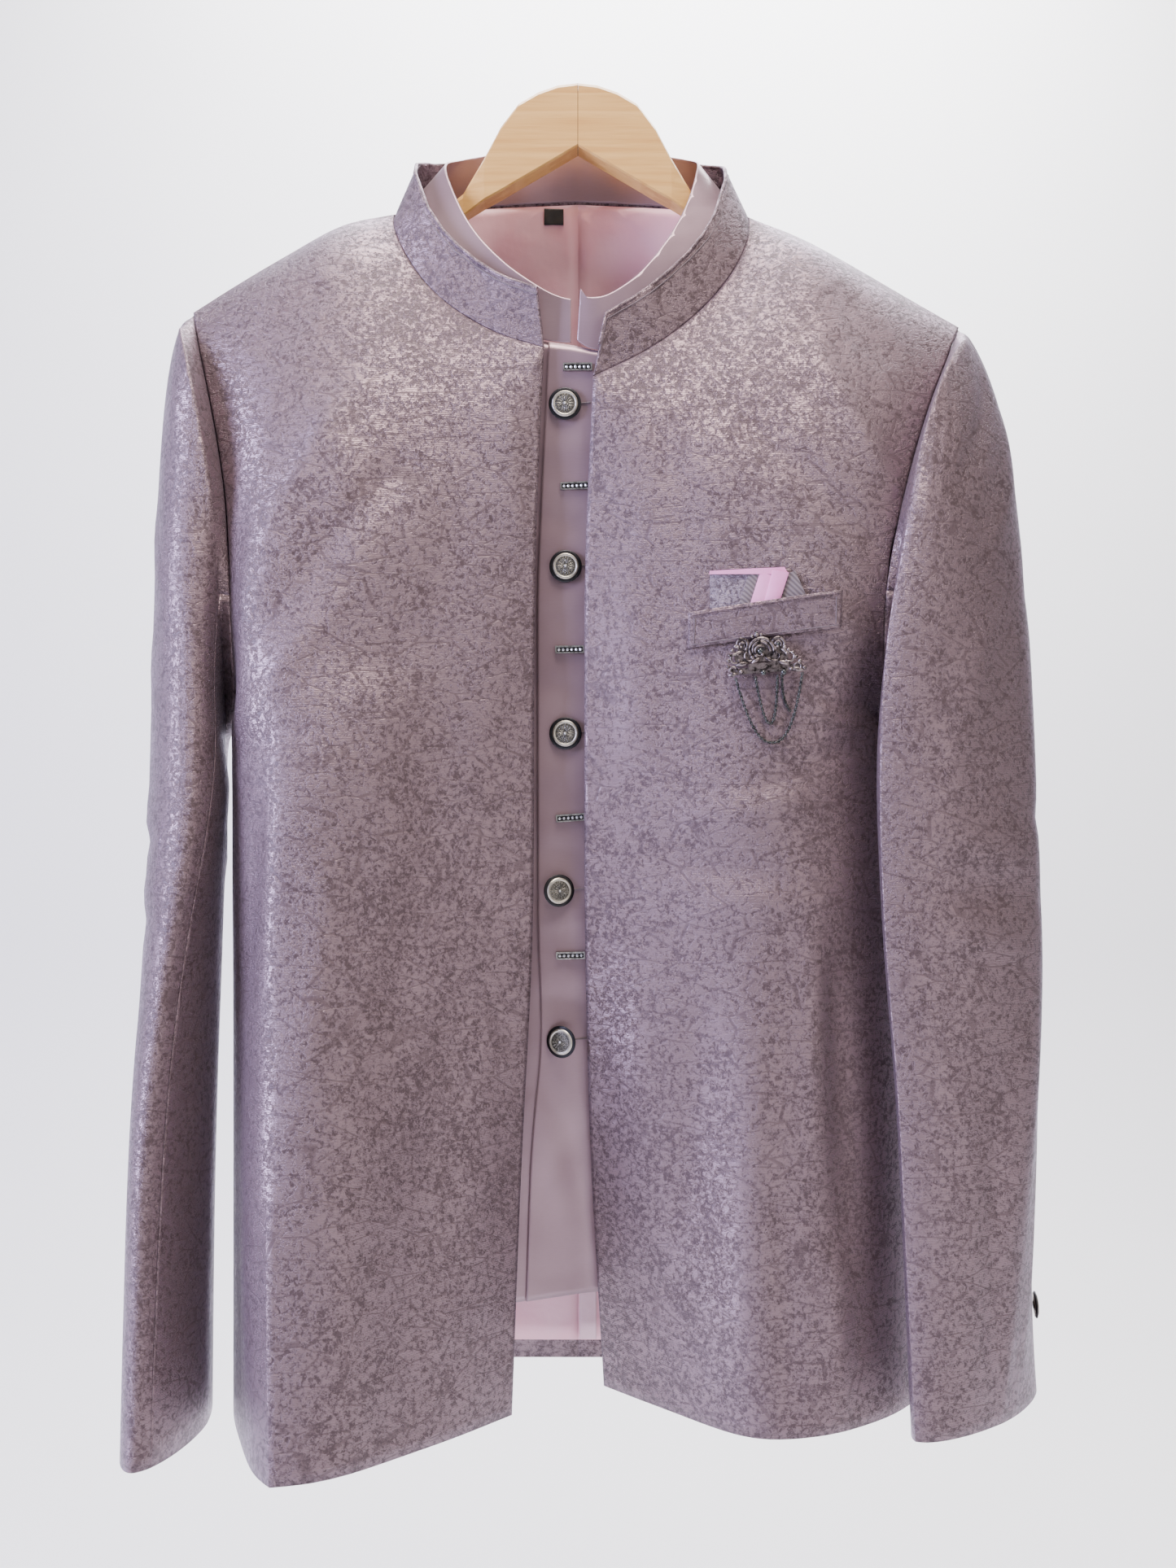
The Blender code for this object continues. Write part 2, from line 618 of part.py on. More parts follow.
def sleeve_panels(panels, side, rings):
    rows = sleeve_rings(panels["front_" + side]["grid"], panels["back_" + side]["grid"], rings)
    count = rows.shape[1]
    centres = rows.mean(axis=1, keepdims=True)
    closed = np.concatenate([rows[:, -1:], rows, rows[:, :1]], axis=1)
    normals = grid_normals(closed, centres)[:, 1:-1]
    under = list(range(FRONT_SEAM, BACK_SEAM + 1))
    top = list(range(BACK_SEAM, count)) + list(range(0, FRONT_SEAM + 1))
    return {
        "top_sleeve_" + side: {"grid": rows[:, top], "normals": normals[:, top]},
        "under_sleeve_" + side: {"grid": rows[:, under], "normals": normals[:, under]},
    }


def neckline(panels):
    """The neck seam from the left front end round the back to the right front end."""
    front_rows = sum(DOWN_STEPS[:FRONT_CORNER]) + 1
    back_rows = sum(DOWN_STEPS[:BACK_CORNER]) + 1
    pieces = (
        panels["front_left"]["grid"][:front_rows, 0][::-1],
        panels["back_left"]["grid"][1:back_rows, 0],
        panels["back_right"]["grid"][:back_rows - 1, 0][::-1],
        panels["front_right"]["grid"][1:front_rows, 0],
    )
    return np.vstack(pieces)


def distance_share(points):
    run = np.concatenate([[0], np.cumsum(np.linalg.norm(np.diff(points, axis=0), axis=1))])
    return run / run[-1]


def collar_panel(base, leans):
    """A stand collar: the seam's points carried up to its leaning top edge."""
    around = distance_share(base)
    places = [lean.around for lean in leans]
    steps = np.array([[lean.side, lean.depth, lean.rise] for lean in leans], float)
    reach = np.array([np.interp(around, places, steps[:, axis]) for axis in range(3)]).T
    weights = np.array((0.25, 0.5, 0.25))
    padded = np.vstack([reach[:1], reach, reach[-1:]])
    soft = sum(w * padded[k:k + len(reach)] for k, w in enumerate(weights))
    soft[0], soft[-1] = reach[0], reach[-1]
    rows = [base + soft * (i / COLLAR_ROWS) for i in range(COLLAR_ROWS + 1)]
    grid = np.array(rows)
    return {"grid": grid, "normals": grid_normals(grid, (-4, 0, grid[..., 2].mean()))}


def inner_collar_base(outer_base):
    """The inner stand's seam, set in from the outer one and closing at the front."""
    ends = [np.array(p, float) for p in INNER_ENDS]
    centre = np.array((-4.0, 0.0))
    inward = centre - outer_base[:, :2]
    inward /= np.linalg.norm(inward, axis=1, keepdims=True)
    base = outer_base.copy()
    base[:, :2] += inward * INNER_STAND
    base[:, 2] += INNER_RISE
    around = distance_share(outer_base)
    for index, share in enumerate(around):
        for end, away in ((ends[0], share), (ends[1], 1 - share)):
            pull = max(0.0, 1 - away / INNER_CLOSE) ** 2
            base[index] = base[index] * (1 - pull) + end * pull
    return base


def inner_front_grid(left):
    """The satin front piece on one side; the right one laps over the left."""
    heights = [row.height for row in INNER_FRONT]
    fine = np.linspace(heights[0], heights[-1], INNER_ROWS)

    def column(name):
        values = [getattr(row, name) for row in INNER_FRONT]
        return np.interp(-fine, [-h for h in heights], values)

    lap, lap_depth, right_depth = column("lap_edge"), column("lap_depth"), column("right_depth")
    near, far = INNER_RIGHT_LIMITS
    grid = []
    for k, height in enumerate(fine):
        limits = INNER_LEFT_LIMITS if left else (lap[k], far)
        places = np.linspace(*limits, INNER_COLUMNS)
        slope = (right_depth[k] - lap_depth[k]) / (near - lap[k])
        lie = lap_depth[k] + slope * (np.minimum(places, near) - lap[k])
        grid.append([(x, y, height) for x, y in zip(places, lie)])
    grid = np.array(grid)
    grid[..., 1] += INNER_LAYER if left else 0.0
    return grid


def trim_top(grid, base):
    """Bring the top row of a panel up to just below the collar seam above it."""
    result = grid.copy()
    order = np.argsort(base[:, 0])
    front = [k for k in order if base[k, 1] < base[:, 1].mean()]
    for j in range(grid.shape[1]):
        seam = np.interp(grid[0, j, 0], base[front, 0], base[front, 2])
        result[0, j, 2] = min(seam - INNER_TOP_GAP, grid[0, j, 2] + INNER_TOP_REACH)
    return result


def lining_panel(panels, side):
    """Half the back lining: the back's own points moved in, cut short above the hem."""
    panel = panels["back_" + side]
    normals = panel["normals"][LINING_FIRST_ROW:, :LINING_COLUMNS]
    grid = panel["grid"][LINING_FIRST_ROW:, :LINING_COLUMNS] - normals * (CLOTH + LINING_EASE)
    grid[-1, :, 2] = LINING_HEM
    return {"grid": grid, "normals": normals}


def turned_button(name, width, material, group):
    """A domed button with a raised rim and a shank, turned about its axis."""
    radius = width / 2
    mesh = bpy.data.meshes.new(name)
    verts = [(point.share * radius * MM, 0.0, point.height * MM) for point in BUTTON_PROFILE]
    edges = [(k, k + 1) for k in range(len(verts) - 1)]
    mesh.from_pydata(verts, edges, [])
    item = bpy.data.objects.new(name, mesh)
    item.data.materials.append(material)
    group.objects.link(item)
    turn = item.modifiers.new("turn", "SCREW")
    turn.steps = turn.render_steps = BUTTON_STEPS
    turn.use_merge_vertices = True
    turn.merge_threshold = WELD
    turn.use_smooth_shade = True
    return item


def button_reach(leaning, normal):
    """How far a tilted button's rim reaches back past the foot of its shank."""
    upright = float(leaning @ normal)
    slant = math.sqrt(max(0.0, 1 - upright ** 2))
    radius = BUTTON_WIDTH / 2
    return max(point.share * radius * slant - point.height * upright for point in BUTTON_PROFILE)


def place_on(item, place, normal, turn=0.0):
    """Stand an object's own Z along a normal, turned about it."""
    ahead = np.array(normal) / np.linalg.norm(normal)
    up = np.array((math.sin(turn), 0.0, math.cos(turn)))
    side = np.cross(up, ahead)
    side /= np.linalg.norm(side)
    up = np.cross(ahead, side)
    matrix = np.eye(4)
    matrix[:3, 0], matrix[:3, 1], matrix[:3, 2] = side, up, ahead
    matrix[:3, 3] = np.array(place) * MM
    item.matrix_world = Matrix(matrix.tolist())


def add_bar(fastener, place, normal, material, group):
    """A channel bar for small stones, lying across the front edge."""
    shape = bmesh.new()
    bmesh.ops.create_cube(shape, size=1.0)
    long, deep, high = (size * MM for size in BAR_SIZE)
    bmesh.ops.scale(shape, verts=shape.verts, vec=(long, high, deep))
    mesh = bpy.data.meshes.new(fastener.name)
    shape.to_mesh(mesh)
    shape.free()
    item = add_object(fastener.name, mesh, material, group)
    edge = item.modifiers.new("edge", "BEVEL")
    edge.width = BAR_EDGE * MM
    edge.segments = 1
    lift = SEAM_GAP + BAR_SIZE[1] / 2
    place_on(item, place + normal * lift, normal, math.radians(fastener.tilt))
    return item


def add_hanger_half(name, hand, seam, material, group):
    """Half the hanger: a board whose arm follows the shoulder seam from below."""
    stations = [(s.x, s.top, s.bottom, HANGER_DEPTH) for s in HANGER]
    start, tip = abs(seam[1][0]), abs(seam[-1][0])
    seam_x, seam_z = np.abs(seam[:, 0]), seam[:, 2]
    for index in range(-ARM_STATIONS, 0):
        stations[index] = (*stations[index][:3], ARM_DEPTH)
    for share in ARM_SHARES:
        x = start + (tip - start) * share
        top = min(np.interp(x, seam_x, seam_z) - CLOTH - ARM_DROP, HANGER[-1].top + ARM_STEP)
        stations.append((x, top, top - ARM_HEIGHT, ARM_DEPTH))
    shape = bmesh.new()
    rings = []
    for x, top, bottom, depth in stations:
        forward = -ARM_FORWARD * max(0.0, x - ARM_BEND)
        half = depth / 2
        corner = HANGER_CORNER if depth == HANGER_DEPTH else ARM_CORNER
        foot = HANGER_FOOT
        outline = (
            (-half, bottom + foot), (-half + foot, bottom), (half - foot, bottom), (half, bottom + foot),
            (half, top - corner), (half - corner, top), (-half + corner, top), (-half, top - corner),
        )
        rings.append([shape.verts.new((hand * x * MM, (y + forward) * MM, z * MM)) for y, z in outline])
    for first, second in zip(rings, rings[1:]):
        for k, point in enumerate(first):
            after = (k + 1) % len(first)
            shape.faces.new((point, first[after], second[after], second[k]))
    shape.faces.new(rings[0])
    shape.faces.new(rings[-1])
    bmesh.ops.recalc_face_normals(shape, faces=shape.faces)
    mesh = bpy.data.meshes.new(name)
    shape.to_mesh(mesh)
    shape.free()
    return add_object(name, mesh, material, group)


def scroll_outline():
    """The brooch's edge: a fan of lobes over a straight bar, about its middle."""
    points = list(BROOCH_BAR)
    reach, rise, foot = BROOCH_FAN
    count = BROOCH_LOBES * LOBE_STEPS
    for k in range(count + 1):
        angle = math.pi * k / count
        wave = 1.0 + LOBE_DEPTH * abs(math.sin(BROOCH_LOBES * angle)) - LOBE_SINK
        height = foot + rise * wave * math.sin(angle) ** FAN_SQUARE
        points.append((reach * wave * math.cos(angle), height))
    return points


def round_outline(hole):
    turns = [2 * math.pi * k / HOLE_SIDES for k in range(HOLE_SIDES)]
    return [(hole.x + hole.radius * math.cos(a), hole.y + hole.radius * math.sin(a)) for a in turns]


def add_brooch(place, normal, material, group):
    """The pierced brooch plate: a flat outline with round holes, given thickness."""
    curve = bpy.data.curves.new("brooch", "CURVE")
    curve.dimensions = "2D"
    curve.fill_mode = "BOTH"
    curve.extrude = BROOCH_THICK / 2 * MM
    curve.resolution_u = 1
    for outline in [scroll_outline()] + [round_outline(hole) for hole in BROOCH_HOLES]:
        spline = curve.splines.new("POLY")
        spline.points.add(len(outline) - 1)
        for point, (x, y) in zip(spline.points, outline):
            point.co = (x * MM, y * MM, 0.0, 1.0)
        spline.use_cyclic_u = True
    item = bpy.data.objects.new("brooch", curve)
    curve.materials.append(material)
    group.objects.link(item)
    place_on(item, place + normal * (BROOCH_LIFT + BROOCH_THICK / 2), normal, BROOCH_TURN)
    return item


def below_bar(x):
    """How far below the brooch's middle a chain's end hangs from its bar."""
    edge = np.interp(x, [p[0] for p in BROOCH_BAR], [p[1] for p in BROOCH_BAR])
    return edge - SEAM_GAP - CHAIN_WIDTH / 2


def chain_route(panel, brooch, line):
    """A hanging chain's line, from the brooch's bar down onto the cloth and back."""
    first_y = below_bar(line.first)
    last_y = below_bar(line.last) if line.last_y is None else line.last_y
    points = []
    for k in range(CHAIN_STEPS + 1):
        t = k / CHAIN_STEPS
        x = (1 - t) ** 2 * line.first + 2 * t * (1 - t) * line.low_x + t * t * line.last
        sag = 1 - abs(2 * t - 1) ** CHAIN_SAG
        y = first_y * (1 - t) + last_y * t + (line.low_y - (first_y + last_y) / 2) * sag
        plate = np.array(brooch.matrix_world @ Vector((x * MM, y * MM, 0.0))) / MM
        place, normal = surface_point(panel, plate[0], plate[2])
        cloth = place + normal * (SEAM_GAP + CHAIN_WIDTH / 2)
        held = 0.0 if t > 0.5 and line.last_y is not None else (2 * t - 1) ** 2
        points.append(plate * held + cloth * (1 - held))
    return points


def add_chain(name, points, material, group):
    curve = bpy.data.curves.new(name, "CURVE")
    curve.dimensions = "3D"
    curve.bevel_depth = CHAIN_WIDTH / 2 * MM
    curve.bevel_resolution = 1
    curve.use_fill_caps = True
    spline = curve.splines.new("POLY")
    spline.points.add(len(points) - 1)
    for point, place in zip(spline.points, points):
        point.co = (*(place * MM), 1.0)
    item = bpy.data.objects.new(name, curve)
    curve.materials.append(material)
    group.objects.link(item)
    return item


def build():
    clear_scene()
    group = make_collection("bandhgala_jacket")
    materials = {name: make_material(name) for name in SHADES}
    panels = body_panels()
    panels.update(sleeve_panels(panels, "left", SLEEVE_LEFT))
    panels.update(sleeve_panels(panels, "right", SLEEVE_RIGHT))
    neck = neckline(panels)
    panels["outer_collar"] = collar_panel(neck, OUTER_COLLAR)
    share_seam_normals(panels)
    for name, panel in panels.items():
        first_gap = SEAM_GAP if name.startswith(("front", "back")) else SET_IN_GAP
        add_wall(name, panel["grid"], panel["normals"], CLOTH, materials["jacquard"], group, first_gap)

    inner_base = inner_collar_base(neck)
    inner = collar_panel(inner_base, INNER_COLLAR)
    add_wall("inner_collar", inner["grid"], inner["normals"], SATIN, materials["satin"], group)

    for side in ("left", "right"):
        grid = trim_top(inner_front_grid(side == "left"), inner_base)
        panel = {"grid": grid, "normals": grid_normals(grid, (0, 60, -450))}
        panels["inner_front_" + side] = panel
        add_wall("inner_front_" + side, grid, panel["normals"], SATIN, materials["satin"], group)
        lining = lining_panel(panels, side)
        panels["lining_" + side] = lining
        add_wall("lining_" + side, lining["grid"], lining["normals"], LINING,
                 materials["lining_pink"], group)

    front = panels["front_right"]
    inside = -(LINING + PATCH_GAP)
    near, thin = PATCH_GAP + SQUARE_CLOTH, SQUARE_CLOTH
    linings = panels["lining_left"], panels["lining_right"]
    for name, carrier, corners, low, high, thickness, shade in (
            ("pocket_welt", front, WELT, PATCH_GAP + WELT_CLOTH, WELT_STAND + WELT_CLOTH, WELT_CLOTH,
             "jacquard"),
            ("square_pattern", front, SQUARE_PATTERN, near, near, thin, "jacquard"),
            ("square_pink", front, SQUARE_PINK, PINK_LIFT + thin, PINK_LIFT + thin, thin, "square_pink"),
            ("square_grey", front, SQUARE_GREY, near, near, thin, "square_grey"),
            ("neck_label", linings[0], LABEL, inside, inside, thin, "label_black"),
            ("lining_pleat", linings[1], PLEAT, inside, inside, thin, "pleat_pink")):
        grid, normals = surface_patch(carrier, corners, low, high)
        add_object(name, wall_mesh(name, grid, grid - normals * thickness), materials[shade], group)

    lap = panels["inner_front_right"]
    for fastener in BUTTONS:
        place, normal = surface_point(lap, fastener.x, fastener.z)
        button = turned_button(fastener.name, BUTTON_WIDTH, materials["antique_silver"], group)
        tilt = math.radians(fastener.tilt)
        leaning = np.array((-math.sin(tilt), -math.cos(tilt), 0.0))
        place_on(button, place + normal * (SEAM_GAP + button_reach(leaning, normal)), leaning)
    for fastener in BARS:
        place, normal = surface_point(lap, fastener.x, fastener.z)
        add_bar(fastener, place, normal, materials["antique_silver"], group)
    for name, side, index in (("cuff_button_left", "left", CUFF_BUTTON_PLACES[0]),
                              ("cuff_button_right", "right", CUFF_BUTTON_PLACES[1])):
        panel = panels["top_sleeve_" + side]
        place, normal = panel["grid"][index], panel["normals"][index]
        button = turned_button(name, CUFF_BUTTON_WIDTH, materials["antique_silver"], group)
        place_on(button, place + normal * (SEAM_GAP + BUTTON_CLEAR), normal)

    seams = {side: panels["front_" + side]["grid"][0] for side in ("left", "right")}
    add_hanger_half("hanger_left", -1, seams["left"], materials["wood"], group)
    add_hanger_half("hanger_right", 1, seams["right"], materials["wood"], group)

    place, normal = surface_point(front, *BROOCH_CENTRE)
    brooch = add_brooch(place, normal, materials["antique_silver"], group)
    for name, line in CHAINS.items():
        add_chain(name, chain_route(front, brooch, line), materials["antique_silver"], group)


build()
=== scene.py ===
"""The bandhgala jacket on its hanger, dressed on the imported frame.

Lengths in the tables are millimetres unless a line says otherwise. The front
looks along -Y, +X is the picture's right and the origin is the hanger's crown.
"""
import math
from collections import namedtuple

import bmesh
import bpy
import numpy as np
from mathutils import Matrix, Vector
from mathutils.bvhtree import BVHTree


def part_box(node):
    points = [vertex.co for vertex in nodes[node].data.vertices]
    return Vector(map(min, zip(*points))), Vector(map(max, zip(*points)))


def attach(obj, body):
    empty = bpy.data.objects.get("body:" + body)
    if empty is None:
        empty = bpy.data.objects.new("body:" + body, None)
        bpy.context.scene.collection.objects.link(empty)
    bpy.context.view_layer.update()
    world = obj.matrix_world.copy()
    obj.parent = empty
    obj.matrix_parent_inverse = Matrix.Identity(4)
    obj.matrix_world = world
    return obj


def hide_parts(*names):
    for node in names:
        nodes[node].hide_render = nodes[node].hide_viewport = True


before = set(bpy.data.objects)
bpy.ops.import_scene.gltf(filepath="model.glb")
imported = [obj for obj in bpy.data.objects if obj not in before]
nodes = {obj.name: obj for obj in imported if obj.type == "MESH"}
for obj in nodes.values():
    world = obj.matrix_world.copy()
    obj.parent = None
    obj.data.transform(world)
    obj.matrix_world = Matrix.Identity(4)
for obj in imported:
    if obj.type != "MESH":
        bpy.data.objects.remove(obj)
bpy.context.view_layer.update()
MM = 0.001


# The hanger: two boards of light wood butted at the crown, sanded round and
# varnished. The boards are the frame's own, and take a wood finish with the
# grain running down each arm.
class Value:
    """What one socket of a material carries; arithmetic on it adds Math nodes."""

    def __init__(self, socket):
        self.socket = socket

    def math(self, operation, first, second):
        node = self.socket.node.id_data.nodes.new("ShaderNodeMath")
        node.operation = operation
        for place, term in zip(node.inputs, (first, second)):
            if isinstance(term, Value):
                place.node.id_data.links.new(term.socket, place)
            else:
                place.default_value = term
        return Value(node.outputs[0])

    def __add__(self, other):
        return self.math("ADD", self, other)

    def __sub__(self, other):
        return self.math("SUBTRACT", self, other)

    def __rsub__(self, other):
        return self.math("SUBTRACT", other, self)

    def __mul__(self, other):
        return self.math("MULTIPLY", self, other)

    def __truediv__(self, other):
        return self.math("DIVIDE", self, other)

    __radd__ = __add__
    __rmul__ = __mul__


class Finish:
    """A material ending in one Principled shader, and the one way to add its nodes."""

    def __init__(self, name, fixed):
        self.material = bpy.data.materials.new(name)
        self.material.use_nodes = True
        self.tree = self.material.node_tree
        self.shader = self.tree.nodes["Principled BSDF"]
        for socket, value in fixed.items():
            self.feed(self.shader.inputs[socket], value)

    def feed(self, socket, value):
        if isinstance(value, Value):
            self.tree.links.new(value.socket, socket)
        elif isinstance(value, tuple) and socket.type == "RGBA":
            socket.default_value = (*value[:3], 1.0)
        else:
            socket.default_value = value

    def node(self, kind, settings, sockets, output=0):
        item = self.tree.nodes.new("ShaderNode" + kind)
        for key, value in settings.items():
            setattr(item, key, value)
        for key, value in sockets.items():
            self.feed(item.inputs[key], value)
        return Value(item.outputs[output])

    def place(self):
        """Where a point lies on the piece, in metres."""
        return self.node("TexCoord", {}, {}, output="Object")

    def noise(self, place, scale, detail=2.0, roughness=0.5, distortion=0.0):
        return self.node("TexNoise", {}, {
            "Vector": place, "Scale": scale, "Detail": detail,
            "Roughness": roughness, "Distortion": distortion}, output="Fac")

    def step(self, value, low, high):
        """0 below low, 1 above high, and soft between."""
        return self.node("MapRange", {"interpolation_type": "SMOOTHSTEP"}, {
            "Value": value, "From Min": low, "From Max": high}, output="Result")

    def mix(self, share, first, second):
        """A colour between two others."""
        return self.node("Mix", {"data_type": "RGBA"}, {0: share, 6: first, 7: second}, output=2)

    def relief(self, height, depth, strength=1.0, below=None):
        """Raise the surface by a height of 0 to 1, given its depth in metres."""
        sockets = {"Height": height, "Distance": depth, "Strength": strength}
        if below is not None:
            sockets["Normal"] = below
        return self.node("Bump", {}, sockets, output="Normal")


def finished_mesh(name, shape, *finishes):
    """A mesh made from a built shape, with its finishes in order."""
    mesh = bpy.data.meshes.new(name)
    shape.to_mesh(mesh)
    shape.free()
    for finish in finishes:
        mesh.materials.append(finish.material)
    return mesh


ARM_SLOPE = math.radians(38)

wood = Finish("varnished wood", {"Roughness": 0.40, "Coat Weight": 0.25, "Coat Roughness": 0.22})
board = wood.node("VectorMath", {"operation": "ABSOLUTE"}, {0: wood.place()})
along = wood.node("Mapping", {}, {
    "Vector": board, "Rotation": (0.0, -ARM_SLOPE, 0.0), "Scale": (9.0, 130.0, 130.0)})
pores = wood.node("Mapping", {}, {
    "Vector": board, "Rotation": (0.0, -ARM_SLOPE, 0.0), "Scale": (60.0, 1500.0, 1500.0)})
rings = wood.noise(along, 1.0, detail=3.0, distortion=0.8)
flecks = wood.noise(pores, 1.0, detail=1.0)
tone = wood.step(rings, 0.35, 0.68) * 0.8 + wood.step(flecks, 0.55, 0.75) * 0.2
wood.feed(wood.shader.inputs["Base Color"], wood.mix(tone, (0.80, 0.475, 0.150), (0.62, 0.31, 0.080)))
wood.feed(wood.shader.inputs["Roughness"], 0.36 + flecks * 0.14)
wood.feed(wood.shader.inputs["Normal"], wood.relief(rings + flecks * 0.5, 0.0002, 0.5))
for name in ("hanger_left", "hanger_right"):
    nodes[name].data.materials.clear()
    nodes[name].data.materials.append(wood.material)

# A thin dark line of glue fills the joint between the two boards
glue = Finish("glue", {"Roughness": 0.6})
glue.feed(glue.shader.inputs["Base Color"], glue.mix(
    glue.noise(glue.place(), 800.0), (0.20, 0.11, 0.04), (0.12, 0.065, 0.025)))
JOINT_WIDTH = 0.3 * MM
half = nodes["hanger_left"]
shape = bmesh.new()
shape.from_mesh(half.data)
side = -1.0 if sum(v.co.x for v in half.data.vertices) < 0 else 1.0
bmesh.ops.delete(shape, geom=[
    f for f in shape.faces if abs(f.calc_center_median().x) > MM or abs(f.normal.x) < 0.9], context="FACES")
grown = bmesh.ops.extrude_face_region(shape, geom=list(shape.faces))
bmesh.ops.translate(shape, vec=(-side * JOINT_WIDTH, 0, 0), verts=[
    item for item in grown["geom"] if isinstance(item, bmesh.types.BMVert)])
bmesh.ops.recalc_face_normals(shape, faces=shape.faces)
joint = bpy.data.objects.new("hanger_joint", finished_mesh("hanger_joint", shape, glue))
bpy.context.scene.collection.objects.link(joint)
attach(joint, "root")


# The lining: smooth pink cloth inside the back, seen in the neck and below the
# inner front, with a paler strip at its centre and a bare black label at the
# neck. Every cloth piece is its solid's own wall, made finer and creased.
Crease = namedtuple("Crease", "x0 z0 x1 z1 width height")

# No wall of cloth is thicker than this, so a face this narrow is a rim
WALL_LIMIT = 2 * MM


def fine_wall(name, levels, grow=0.15 * MM):
    """A finer, rounder mesh of one cloth solid, its edges kept sharp and let out to the seams."""
    shape = bmesh.new()
    shape.from_mesh(nodes[name].data)
    bmesh.ops.remove_doubles(shape, verts=shape.verts, dist=0.00001)
    bmesh.ops.join_triangles(
        shape, faces=shape.faces, angle_face_threshold=math.radians(40),
        angle_shape_threshold=math.radians(50))
    sharp = shape.edges.layers.float.new("crease_edge")
    for edge in shape.edges:
        if edge.is_manifold and edge.calc_face_angle() > math.radians(50):
            edge[sharp] = 1.0
    shape.normal_update()
    let_out = {}
    for face in shape.faces:
        narrow = min(edge.calc_length() for edge in face.edges) < WALL_LIMIT
        if narrow and sum(edge[sharp] for edge in face.edges) >= 2:
            for vert in face.verts:
                sides = let_out.setdefault(vert, [])
                if all(face.normal.dot(side) < 0.7 for side in sides):
                    sides.append(face.normal.copy())
    for vert, sides in let_out.items():
        for side in sides:
            vert.co += side * grow
    mesh = bpy.data.meshes.new(name)
    shape.to_mesh(mesh)
    shape.free()
    rough = bpy.data.objects.new(name + "_rough", mesh)
    bpy.context.scene.collection.objects.link(rough)
    finer = rough.modifiers.new("finer", "SUBSURF")
    finer.levels = finer.render_levels = levels
    finer.boundary_smooth = "PRESERVE_CORNERS"
    bpy.context.view_layer.update()
    fine = bpy.data.meshes.new_from_object(rough.evaluated_get(bpy.context.evaluated_depsgraph_get()))
    bpy.data.objects.remove(rough)
    bpy.data.meshes.remove(mesh)
    return fine


def crease_heights(across, up, creases):
    """How far soft ridges and troughs stand out at each point, in metres."""
    total = np.zeros(len(across))
    for crease in creases:
        start = np.array((crease.x0, crease.z0)) * MM
        line = np.array((crease.x1, crease.z1)) * MM - start
        offset = np.stack([across, up], axis=1) - start
        share = np.clip(offset @ line / (line @ line), 0.0, 1.0)
        gap = np.linalg.norm(offset - share[:, None] * line, axis=1)
        body = np.sqrt(np.clip(4 * share * (1 - share), 0.02, 1.0))
        total += crease.height * MM * body * np.exp(-(gap / (crease.width * MM)) ** 2)
    return total


def mesh_points(mesh):
    flat = np.zeros(len(mesh.vertices) * 3)
    mesh.vertices.foreach_get("co", flat)
    return flat.reshape(-1, 3)


def hang_piece(name, mesh, finish, moved=None):
    """Put a cloth piece in the place of its solid."""
    if moved is not None:
        mesh.vertices.foreach_set("co", moved.reshape(-1))
    mesh.materials.clear()
    mesh.materials.append(finish.material)
    mesh.shade_smooth()
    mesh.set_sharp_from_angle(angle=math.radians(55))
    piece = bpy.data.objects.new(name + "_cloth", mesh)
    bpy.context.scene.collection.objects.link(piece)
    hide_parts(name)
    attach(piece, "root")


def plain_cloth(name, colour, weave_and_painted_shade, roughness):
    """A smooth lining cloth: fine weave and slight rumples, with painted shade that darkens it along the
    rumples.
    """
    cloth = Finish(name, {"Sheen Weight": 0.25, "Sheen Roughness": 0.4})
    place = cloth.place()
    weave = cloth.noise(place, 1400.0, detail=1.0)
    rumple = cloth.noise(place, 34.0, detail=3.0, roughness=0.45)
    # Painted shade: the colour darkens with the noise that raises the rumples, and with the fine weave
    cloth.feed(cloth.shader.inputs["Base Color"], cloth.mix(
        cloth.step(rumple, 0.35, 0.7) * 0.6 + weave * 0.25, colour, weave_and_painted_shade))
    cloth.feed(cloth.shader.inputs["Roughness"], roughness + weave * 0.12)
    folds = cloth.relief(rumple, 0.0035, 0.55)
    cloth.feed(cloth.shader.inputs["Normal"], cloth.relief(weave, 0.00008, 0.5, below=folds))
    return cloth


lining_pink = plain_cloth("pink lining", (0.96, 0.58, 0.68), (0.90, 0.44, 0.55), 0.36)
strip_pink = plain_cloth("paler strip", (0.86, 0.60, 0.68), (0.74, 0.46, 0.56), 0.42)
label_cloth = plain_cloth("black label", (0.020, 0.020, 0.022), (0.008, 0.008, 0.009), 0.50)

# How far the lining and the backs may each move toward the other
BACK_CLEAR = 0.25 * MM
LINING_CREASES = [Crease(*row) for row in (
    (-40, -110, -70, -170, 10, 2.0), (35, -100, 60, -180, 12, -2.0),
    (-12, -640, -20, -780, 9, 1.6), (14, -620, 22, -780, 8, -1.5),
    (-60, -560, -75, -775, 16, 2.2), (70, -540, 80, -775, 14, 2.0),
    (-120, -420, -110, -700, 18, -2.0), (118, -380, 122, -720, 18, 2.2),
)]
for name in ("lining_left", "lining_right"):
    mesh = fine_wall(name, 2)
    points = mesh_points(mesh)
    folds = crease_heights(points[:, 0], points[:, 2], LINING_CREASES)
    points[:, 1] -= np.maximum(folds * 0.5, -BACK_CLEAR)
    hang_piece(name, mesh, lining_pink,
               points)
for name, finish, slot, flat in (
        ("lining_pleat", strip_pink, "pleat_pink", (0.0115, 0.144, 0.00165)),
        ("neck_label", label_cloth, "label_black", (0.0125, 0.0105, 0.00013))):
    mesh = fine_wall(name, 2)
    hang_piece(name, mesh, finish)
